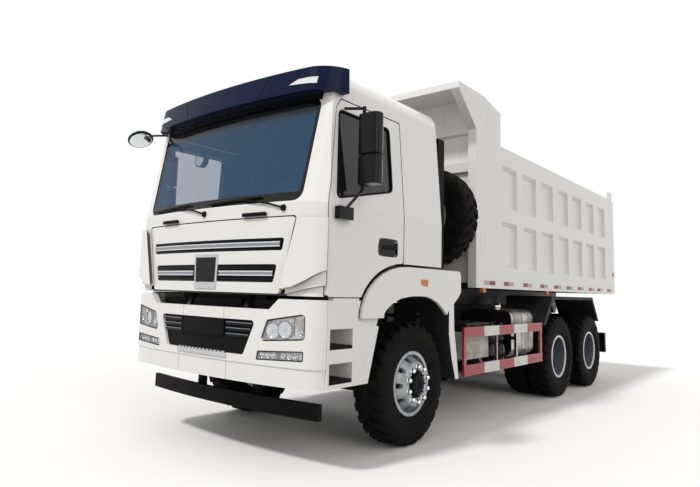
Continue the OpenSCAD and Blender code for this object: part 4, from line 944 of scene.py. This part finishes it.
lens_mesh, tray_mesh, bowl_mesh, rim_mesh, amber_mesh = (bmesh.new() for _ in range(5))
for side in SIDES.values():
    for outline in (LAMP, FOG):
        patch(lens_mesh, bumper_face, sided(outline, side), *LENS_DEPTHS, across=12, up=4)
        patch(tray_mesh, bumper_face, sided(inset(outline, TRAY_GAP), side), *TRAY_DEPTHS, across=12, up=4)
        edge = inset(outline, LAMP_RIM)
        for k in range(4):
            strip = (outline[k], outline[(k + 1) % 4], edge[(k + 1) % 4], edge[k])
            patch(rim_mesh, bumper_face, sided(strip, side), *LAMP_RIM_DEPTHS, across=10, up=1)
    for x, z, radius in LAMP_BOWLS:
        lathe(bowl_mesh, bowl(radius, LAMP_BOWL_DEPTH), in_lamp(side, x, z, BOWL_SEAT), steps=28)
        lathe(rim_mesh, bowl_ring(radius), in_lamp(side, x, z, BOWL_SEAT), steps=28)
    for x in FOG_BOWL_X:
        lathe(bowl_mesh, bowl(FOG_BOWL_R, FOG_BOWL_DEPTH), in_lamp(side, x, FOG_BOWL_Z, BOWL_SEAT), steps=28)
    patch(rim_mesh, bumper_face, sided(quad(*FOG_POST), side), *FOG_POST_DEPTHS, across=1, up=1)
    patch(amber_mesh, bumper_face, sided(LAMP_AMBER, side), *AMBER_DEPTHS, across=6, up=4)
    for x, z in LAMP_CLIPS:
        lathe(rim_mesh, LAMP_CLIP, in_lamp(side, x, z, CLIP_SEAT), steps=8)
    for fin in LAMP_FINS:
        patch(rim_mesh, bumper_face, sided(quad(*fin), side), *LAMP_FIN_DEPTHS, across=4, up=1)
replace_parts(put("lamp_lens", lens_mesh, "chassis", clear_lens), "headlamps")
put("lamp_tray", tray_mesh, "chassis", lamp_silver)
put("lamp_bowls", bowl_mesh, "chassis", chrome, smooth=True, wall=0.0015)
put("lamp_rims", rim_mesh, "chassis", black_gloss)
put("lamp_amber", amber_mesh, "chassis", pale_amber)


# Sun visor: slanted lamps in dark rims and two slanted seams
VISOR_LAMP = ((0.829, 3.079), (1.091, 3.061), (1.095, 3.119), (0.919, 3.118))
VISOR_LAMP_RIM = 0.010
VISOR_SEAM = ((0.494, 3.012), (0.502, 3.012), (0.604, 3.212), (0.596, 3.212))
VISOR_LAMP_DEPTHS = (-0.004, 0.008)
VISOR_RIM_DEPTHS = (-0.0015, 0.006)
VISOR_SEAM_DEPTHS = (-0.0012, 0.004)
lamps, rims, seams = (bmesh.new() for _ in range(3))
for side in SIDES.values():
    patch(lamps, visor_face, sided(VISOR_LAMP, side), *VISOR_LAMP_DEPTHS, across=10, up=2)
    around = inset(VISOR_LAMP, -VISOR_LAMP_RIM)
    patch(rims, visor_face, sided(around, side), *VISOR_RIM_DEPTHS, across=10, up=2)
    patch(seams, visor_face, sided(VISOR_SEAM, side), *VISOR_SEAM_DEPTHS, across=1, up=8)
put("visor_lamps", lamps, "cab", lamp_white)
put("visor_lamp_rims", rims, "cab", black_gloss)
put("visor_seams", seams, "cab", matt_black)


# Doors: handle grips over recesses with a front lip, mirror faces; outlines are (y, z)
HANDLE_RECESS = ((-0.640, 1.735), (-0.610, 1.708), (-0.430, 1.708), (-0.393, 1.745), (-0.393, 1.825),
                 (-0.430, 1.862), (-0.600, 1.862), (-0.640, 1.835))
HANDLE_LIP = ((-0.690, 1.742), (-0.678, 1.716), (-0.645, 1.705), (-0.632, 1.720), (-0.632, 1.850),
              (-0.648, 1.867), (-0.674, 1.848), (-0.688, 1.800))
HANDLE_GRIP = ((-0.625, 1.768), (-0.400, 1.775), (-0.400, 1.812), (-0.625, 1.806))
# Outline, depth of its inner face under the door's skin, thickness, finish, bevel
HANDLE_PIECES = {"recess": (HANDLE_RECESS, 0.0195, 0.004, black_gloss, 0.0),
                 "lip": (HANDLE_LIP, 0.004, 0.0055, black_gloss, 0.0),
                 "grip": (HANDLE_GRIP, 0.012, 0.016, matt_black, 0.006)}
MIRROR_FACE_X = (1.335, 1.480)
MIRROR_FACE_Y = (-0.9765, -0.9735)
MIRROR_FACES_Z = ((2.525, 2.805), (2.272, 2.458))
for name, side in SIDES.items():
    for piece, (outline, sunk, thick, material, bevel) in HANDLE_PIECES.items():
        bm = bmesh.new()
        side_plate(bm, side, CAB_HALF - sunk, thick, outline)
        put(f"handle_{piece}_{name}", bm, f"door_{name}", material, bevel=bevel)
    bm = bmesh.new()
    for heights in MIRROR_FACES_Z:
        side_block(bm, side, MIRROR_FACE_X, MIRROR_FACE_Y, heights)
    put(f"mirror_faces_{name}", bm, f"door_{name}", mirror_face, bevel=0.002)


# Cab front: grab handles, wipers and the round mirror that looks down past the bumper
GRAB_X, GRAB_Z = 0.587, 2.003
GRAB_HALF, GRAB_HALF_HEIGHT = 0.130, 0.016
GRAB_FOOT_REACH = 0.110
GRAB_FOOT_HALF, GRAB_FOOT_HALF_HEIGHT = 0.012, 0.010
GRAB_DEPTHS = (-0.029, -0.015)
GRAB_FOOT_DEPTHS = (-0.017, 0.004)
bm = bmesh.new()
for side in SIDES.values():
    grab = side * GRAB_X
    patch(bm, cab_face, quad_about(grab, GRAB_Z, GRAB_HALF, GRAB_HALF_HEIGHT), *GRAB_DEPTHS, across=8, up=1)
    for foot in (grab - GRAB_FOOT_REACH, grab + GRAB_FOOT_REACH):
        corners = quad_about(foot, GRAB_Z, GRAB_FOOT_HALF, GRAB_FOOT_HALF_HEIGHT)
        patch(bm, cab_face, corners, *GRAB_FOOT_DEPTHS, across=2, up=1)
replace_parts(put("grab_handles", bm, "cab", matt_black, bevel=0.004), "cab_trim")

WIPER_ROOTS = (-0.060, 0.880)
WIPER_Z = 2.046
WIPER_R = 0.008
WIPER_CAP = ((0, -0.004), (0.027, -0.004), (0.027, 0.006), (0.021, 0.019), (0.012, 0.025), (0, 0.026))
# Places from the root: across, up, proud of the cab
WIPER_ARM = ((0.0, 0.0, 0.016), (-0.140, 0.040, 0.019), (-0.300, 0.066, 0.021), (-0.480, 0.094, 0.020))
WIPER_BLADE = ((-0.880, 0.078, 0.013), (-0.720, 0.085, 0.013), (-0.565, 0.091, 0.013),
               (-0.410, 0.097, 0.013), (-0.250, 0.103, 0.013))
bm = bmesh.new()
for root in WIPER_ROOTS:
    lathe(bm, WIPER_CAP, facing(cab_face(root, WIPER_Z, 0.0), FORWARD), steps=20)
    for path in (WIPER_ARM, WIPER_BLADE):
        tube(bm, [cab_face(root + across, WIPER_Z + up, -proud) for across, up, proud in path], WIPER_R)
put("wipers", bm, "cab", matt_black)

MIRROR_SPOT = at(-1.355, -1.436, 2.934)
MIRROR_LOOK = Vector((0.464, -0.056, -0.884))
MIRROR_HEAD = ((0, 0.0), (0.120, 0.0), (0.129, -0.004), (0.131, -0.018), (0.115, -0.038), (0.066, -0.052),
               (0, -0.056))
MIRROR_ARM = [at(-1.120, -1.230, 2.992), at(-1.170, -1.290, 2.990), at(-1.250, -1.370, 2.982),
              MIRROR_SPOT - MIRROR_LOOK.normalized() * 0.050]
MIRROR_ARM_R = 0.011
bm = bmesh.new()
lathe(bm, MIRROR_HEAD, facing(MIRROR_SPOT, MIRROR_LOOK), steps=40)
tube(bm, MIRROR_ARM, MIRROR_ARM_R)
put("front_mirror_head", bm, "cab", black_gloss, smooth=True)

# Pale faces of the round front mirror and of the kerb mirror: body, place, direction, size
ROUND_FACE = ((0, 0.0), (0.094, 0.0), (0.094, 0.003), (0.080, 0.0045), (0.040, 0.0062), (0, 0.0068))
ROUND_MIRRORS = {"front": ("cab", MIRROR_SPOT - MIRROR_LOOK * 0.0005, MIRROR_LOOK, 1.20),
                 "kerb": ("door_right", at(-1.340, -0.6805, 2.870), FORWARD, 0.8)}
for name, (body, spot, look, size) in ROUND_MIRRORS.items():
    bm = bmesh.new()
    lathe(bm, [(radius * size, height) for radius, height in ROUND_FACE], facing(spot, look), steps=40)
    put(f"round_mirror_{name}", bm, body, mirror_face, smooth=True)


# Doors: rubber round the windows, on sides that lean in above the belt; the outline is (y, z)
WINDOW = ((-1.245, 2.130), (-0.470, 2.290), (-0.475, 2.870), (-1.180, 2.870))
WINDOW_BEND = 0.05
SEAL_R = 0.010
SEAL_SUNK = 0.002
ROOF_HALF, ROOF_Z = 1.15, 3.27


def door_x(z):
    return CAB_HALF - max(0.0, z - BELT_Z) * (CAB_HALF - ROOF_HALF) / (ROOF_Z - BELT_Z)


def softened(corners, length, chords=5):
    """Outline whose corners are bent over the given length of their sides."""
    spots = [Vector(c) for c in corners]
    bent = []
    for i, spot in enumerate(spots):
        start = spot + (spots[i - 1] - spot).normalized() * length
        end = spot + (spots[(i + 1) % len(spots)] - spot).normalized() * length
        for k in range(chords + 1):
            share = k / chords
            bent.append(start.lerp(spot, share).lerp(spot.lerp(end, share), share))
    return bent


for name, side in SIDES.items():
    bm = bmesh.new()
    ring = [at(side * (door_x(z) - SEAL_SUNK), y, z) for y, z in softened(WINDOW, WINDOW_BEND)]
    tube(bm, ring + ring[:1], SEAL_R, steps=8)
    put(f"window_seal_{name}", bm, f"door_{name}", matt_black, smooth=True)


# Bed: reflective foil along the bottom rail, each strip half red and half white
FOIL_Y = (1.465, 1.99, 2.57, 3.14, 3.67, 4.18, 4.69, 5.24, 5.70, 6.28)
FOIL_Z = (1.512, 1.560)
FOIL_LENGTH = 0.144
BED_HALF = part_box("bed_sides")[1].x
FOIL_X = (BED_HALF - 0.0005, BED_HALF + 0.0008)
red_mesh, white_mesh = bmesh.new(), bmesh.new()
for side in SIDES.values():
    for i, y in enumerate(FOIL_Y):
        first, second = (white_mesh, red_mesh) if i == 0 else (red_mesh, white_mesh)
        for mesh, start in ((first, y - FOIL_LENGTH), (second, y)):
            side_block(mesh, side, FOIL_X, (start, start + FOIL_LENGTH), FOIL_Z)
put("foil_red", red_mesh, "bed", red_foil)
put("foil_white", white_mesh, "bed", white_foil)


# Front arches: round lips in the corners of the opening, a dark apron ahead of the tyre; outlines are (y, z)
ARCH_FRONT = ((-0.640, 1.195), (-0.617, 1.219), (-0.590, 1.249), (-0.502, 1.300), (-0.372, 1.346),
              (-0.237, 1.364), (-0.160, 1.369), (-0.160, 1.385), (-0.470, 1.385), (-0.580, 1.350),
              (-0.640, 1.270))
ARCH_REAR = ((0.050, 1.367), (0.140, 1.356), (0.276, 1.311), (0.393, 1.241), (0.452, 1.192), (0.480, 1.222),
             (0.600, 1.306), (0.600, 1.385), (0.050, 1.385))
ARCH_LIP_X, ARCH_LIP_THICK = 1.2420, 0.0295
# Plate and its raised panel: across, along, height
APRON = (((0.56, 0.945), (-0.712, -0.694), (0.70, 1.22)), ((0.58, 0.925), (-0.700, -0.688), (0.76, 1.16)))
lips, aprons = bmesh.new(), bmesh.new()
for side in SIDES.values():
    for outline in (ARCH_FRONT, ARCH_REAR):
        side_plate(lips, side, ARCH_LIP_X, ARCH_LIP_THICK, outline)
    for across, along, height in APRON:
        side_block(aprons, side, across, along, height)
put("arch_lips", lips, "chassis", fender_paint)
put("arch_aprons", aprons, "chassis", matt_black, bevel=0.004)

# Fillers of the step boxes, and a near-black sheet that paints the shade in the gap under the lid
STEP_WEDGE = ((-0.940, 1.168), (-0.668, 1.114), (-0.640, 1.180), (-0.940, 1.180))
STEP_WEDGE_X, STEP_WEDGE_THICK = 1.10, 0.125
SILL_FILLER = ((1.180, 1.238), (-1.250, -0.930), (1.321, 1.343))
GAP_SHADE_HALF = 0.58
GAP_SHADE_Y, GAP_SHADE_Z = (-1.340, -1.328), (1.300, 1.356)
GAP_SHADE_RIBS = (-0.50, -0.25, 0.0, 0.25, 0.50)
GAP_SHADE_RIB_HALF = 0.015
GAP_SHADE_RIB_Y, GAP_SHADE_RIB_Z = (-1.346, -1.339), (1.306, 1.350)
fillers = bmesh.new()
for side in SIDES.values():
    side_plate(fillers, side, STEP_WEDGE_X, STEP_WEDGE_THICK, STEP_WEDGE)
    side_block(fillers, side, *SILL_FILLER)
put("step_fillers", fillers, "chassis", white_paint)
# Painted shade: a ribbed near-black sheet stands in the gap under the lid
bm = bmesh.new()
block(bm, at(-GAP_SHADE_HALF, GAP_SHADE_Y[0], GAP_SHADE_Z[0]), at(GAP_SHADE_HALF, GAP_SHADE_Y[1], GAP_SHADE_Z[1]))
for x in GAP_SHADE_RIBS:
    block(bm, at(x - GAP_SHADE_RIB_HALF, GAP_SHADE_RIB_Y[0], GAP_SHADE_RIB_Z[0]),
          at(x + GAP_SHADE_RIB_HALF, GAP_SHADE_RIB_Y[1], GAP_SHADE_RIB_Z[1]))
put("cab_front_gap_shade", bm, "cab", matt_black)


# Orange markers on the arches, under the bed rail and on the rear posts
ARCH_MARKER = ((-0.035, 1.478), (0.07, 1.462), (0.085, 1.525), (-0.03, 1.527))
ARCH_MARKER_X, ARCH_MARKER_THICK = 1.271, 0.010
RAIL_MARKER_X, RAIL_MARKER_Z = (1.185, 1.235), (1.425, 1.475)
RAIL_MARKERS_Y = (1.37, 3.32)
RAIL_MARKER_HALF = 0.035
POST_MARKER = ((BED_HALF - 0.002, BED_HALF + 0.012), (6.500, 6.545), (1.785, 1.860))
on_arches, under_rail, on_posts = (bmesh.new() for _ in range(3))
for side in SIDES.values():
    side_plate(on_arches, side, ARCH_MARKER_X, ARCH_MARKER_THICK, ARCH_MARKER)
    for y in RAIL_MARKERS_Y:
        along = (y - RAIL_MARKER_HALF, y + RAIL_MARKER_HALF)
        side_block(under_rail, side, RAIL_MARKER_X, along, RAIL_MARKER_Z)
    side_block(on_posts, side, *POST_MARKER)
put("arch_markers", on_arches, "chassis", amber_lens, bevel=0.003)
put("rail_markers", under_rail, "bed", amber_lens, bevel=0.005)
put("post_markers", on_posts, "bed", amber_lens, bevel=0.004)


# Tail lamps: three ribbed lenses in each dark housing
TAIL_LENSES = {"inner": ((0.862, 0.955), white_foil), "middle": ((0.965, 1.065), amber_lens),
               "outer": ((1.075, 1.180), red_lens)}
TAIL_LENS_Y, TAIL_LENS_Z = (6.188, 6.198), (0.602, 0.778)
TAIL_RIBS = 5
TAIL_RIB_Y = (6.197, 6.202)
TAIL_RIB_FOOT, TAIL_RIB_PITCH, TAIL_RIB_HEIGHT = 0.615, 0.032, 0.022
TAIL_RIB_INSET = 0.006
for name, ((inner, outer), material) in TAIL_LENSES.items():
    bm = bmesh.new()
    for side in SIDES.values():
        side_block(bm, side, (inner, outer), TAIL_LENS_Y, TAIL_LENS_Z)
        for k in range(TAIL_RIBS):
            low = TAIL_RIB_FOOT + TAIL_RIB_PITCH * k
            across = (inner + TAIL_RIB_INSET, outer - TAIL_RIB_INSET)
            side_block(bm, side, across, TAIL_RIB_Y, (low, low + TAIL_RIB_HEIGHT))
    put(f"tail_lens_{name}", bm, "chassis", material, bevel=0.003)


# Chassis fittings on the left: tank cap, air-tank ends and bands, battery-box ribs and latches
TANK_CAP = ((0, -0.010), (0.056, -0.010), (0.060, -0.004), (0.060, 0.016), (0.054, 0.026), (0.030, 0.029),
            (0, 0.029))
TANK_CAP_SPOT = at(0.90, 2.40, 1.255)
TANK_CAP_BAR = ((0.852, 0.948), (2.392, 2.408), (1.281, 1.297))
bm = bmesh.new()
lathe(bm, TANK_CAP, facing(TANK_CAP_SPOT, UP), steps=28)
side_block(bm, LEFT, *TANK_CAP_BAR)
put("tank_cap", bm, "chassis", chrome, bevel=0.002)

AIR_TANK_END = ((0, -0.004), (0.1185, -0.004), (0.1170, 0.004), (0.1060, 0.016), (0.0800, 0.026),
                (0.0400, 0.032), (0, 0.033))
AIR_TANK_BAND = ((0.1190, -0.018), (0.1225, -0.018), (0.1225, 0.018), (0.1190, 0.018), (0.1190, -0.018))
AIR_TANKS_Y, AIR_TANKS_Z = (1.875, 2.125), (0.712, 0.952)
AIR_TANK_END_X, AIR_TANK_BANDS_X = 1.080, (0.650, 0.980)
ends, bands = bmesh.new(), bmesh.new()
for y in AIR_TANKS_Y:
    for z in AIR_TANKS_Z:
        lathe(ends, AIR_TANK_END, facing(at(AIR_TANK_END_X, y, z), AXLE_X), steps=36)
        for x in AIR_TANK_BANDS_X:
            lathe(bands, AIR_TANK_BAND, facing(at(x, y, z), AXLE_X), steps=48)
put("air_tank_ends", ends, "chassis", black_gloss, smooth=True)
put("air_tank_bands", bands, "chassis", steel)

BOX_RIB_X, BOX_RIB_Y = (1.118, 1.127), (1.195, 1.665)
BOX_RIBS_Z = (0.755, 0.845, 0.935)
BOX_RIB_HEIGHT = 0.040
BOX_LATCHES_Y = (1.290, 1.570)
# Plate and hook of a latch: across, half its length, height
BOX_LATCH = (((1.118, 1.134), 0.018, (0.985, 1.070)), ((1.133, 1.140), 0.010, (1.000, 1.040)))
ribs, latches = bmesh.new(), bmesh.new()
for z in BOX_RIBS_Z:
    side_block(ribs, LEFT, BOX_RIB_X, BOX_RIB_Y, (z, z + BOX_RIB_HEIGHT))
for y in BOX_LATCHES_Y:
    for across, half, height in BOX_LATCH:
        side_block(latches, LEFT, across, (y - half, y + half), height)
put("battery_box_ribs", ribs, "chassis", FINISHES["box_grey"], bevel=0.004)
put("battery_box_latches", latches, "chassis", matt_black, bevel=0.003)


# Stage: a pale floor that bounces less light than it shows
FLOOR_HALF = 60.0
FLOOR_BOUNCE = rgb(0.34, 0.335, 0.33)


def looked_at(wire):
    """1 for rays from the camera, off a gloss or through glass."""
    camera_ray, gloss_ray, glass_ray = (wire.node("ShaderNodeLightPath", {}, {}, out=f"Is {kind} Ray")
                                        for kind in ("Camera", "Glossy", "Transmission"))
    return wire.math("MAXIMUM", camera_ray, wire.math("MAXIMUM", gloss_ray, glass_ray))


def flat_white(wire):
    pale = noise(place_of(wire), 0.4).mix(rgb(0.88, 0.88, 0.88), rgb(0.90, 0.90, 0.90))
    return {"Base Color": looked_at(wire).mix(FLOOR_BOUNCE, pale)}


bm = bmesh.new()
bm.faces.new([bm.verts.new((x, y, 0.0)) for x, y in quad(-FLOOR_HALF, -FLOOR_HALF, FLOOR_HALF, FLOOR_HALF)])
floor_mesh = bpy.data.meshes.new("floor")
bm.to_mesh(floor_mesh)
bm.free()
floor_mesh.materials.append(finish("floor_white", flat_white, roughness=0.9))
floor = bpy.data.objects.new("floor", floor_mesh)
bpy.context.scene.collection.objects.link(floor)

# Light: an even sky, a high sun from the front and a soft fill on the left side
world = bpy.data.worlds.new("studio")
bpy.context.scene.world = world
world.use_nodes = True
sky = Wire(world.node_tree)
backdrop = world.node_tree.nodes["Background"]
SKY_STRENGTH = 0.62
strength = SKY_STRENGTH + looked_at(sky) * (1.0 - SKY_STRENGTH)
world.node_tree.links.new(strength.socket, backdrop.inputs["Strength"])
backdrop.inputs["Color"].default_value = rgb(1.0, 1.0, 1.0)


def sun(name, toward, strength, angle, colour):
    light = bpy.data.lights.new(name, "SUN")
    light.energy = strength
    light.angle = math.radians(angle)
    light.color = colour
    lamp = bpy.data.objects.new(name, light)
    lamp.rotation_mode = "QUATERNION"
    lamp.rotation_quaternion = Vector(toward).to_track_quat("-Z", "Y")
    bpy.context.scene.collection.objects.link(lamp)


sun("key", (0.10, 0.62, -0.80), 1.9, 6.0, (1.0, 0.985, 0.95))
sun("fill", (-0.85, 0.25, -0.45), 0.62, 40.0, (1.0, 0.94, 0.86))

# Camera at the photograph's place
CAMERA_TURN = math.radians(40.063)
CAMERA_PITCH = math.radians(6.356)
CAMERA_ROLL = math.radians(1.585)
CAMERA_SPOT = at(4.129, -4.672, 1.401)
camera = bpy.data.cameras.new("camera")
camera.lens = 29.635
camera.sensor_width = 36.0
camera.shift_x = 0.0185
camera.shift_y = -0.0243
camera.clip_end = 300.0
right = Vector((math.cos(CAMERA_TURN), math.sin(CAMERA_TURN), 0))
level = Vector((-math.sin(CAMERA_TURN), math.cos(CAMERA_TURN), 0))
ahead = level * math.cos(CAMERA_PITCH) + UP * math.sin(CAMERA_PITCH)
up = UP * math.cos(CAMERA_PITCH) - level * math.sin(CAMERA_PITCH)
image_x = right * math.cos(CAMERA_ROLL) + up * math.sin(CAMERA_ROLL)
image_y = up * math.cos(CAMERA_ROLL) - right * math.sin(CAMERA_ROLL)
eye = bpy.data.objects.new("camera", camera)
turn = Matrix((image_x, image_y, -ahead)).transposed().to_4x4()
eye.matrix_world = Matrix.Translation(CAMERA_SPOT) @ turn
bpy.context.scene.collection.objects.link(eye)
bpy.context.scene.camera = eye
bpy.context.scene.view_settings.view_transform = "Standard"
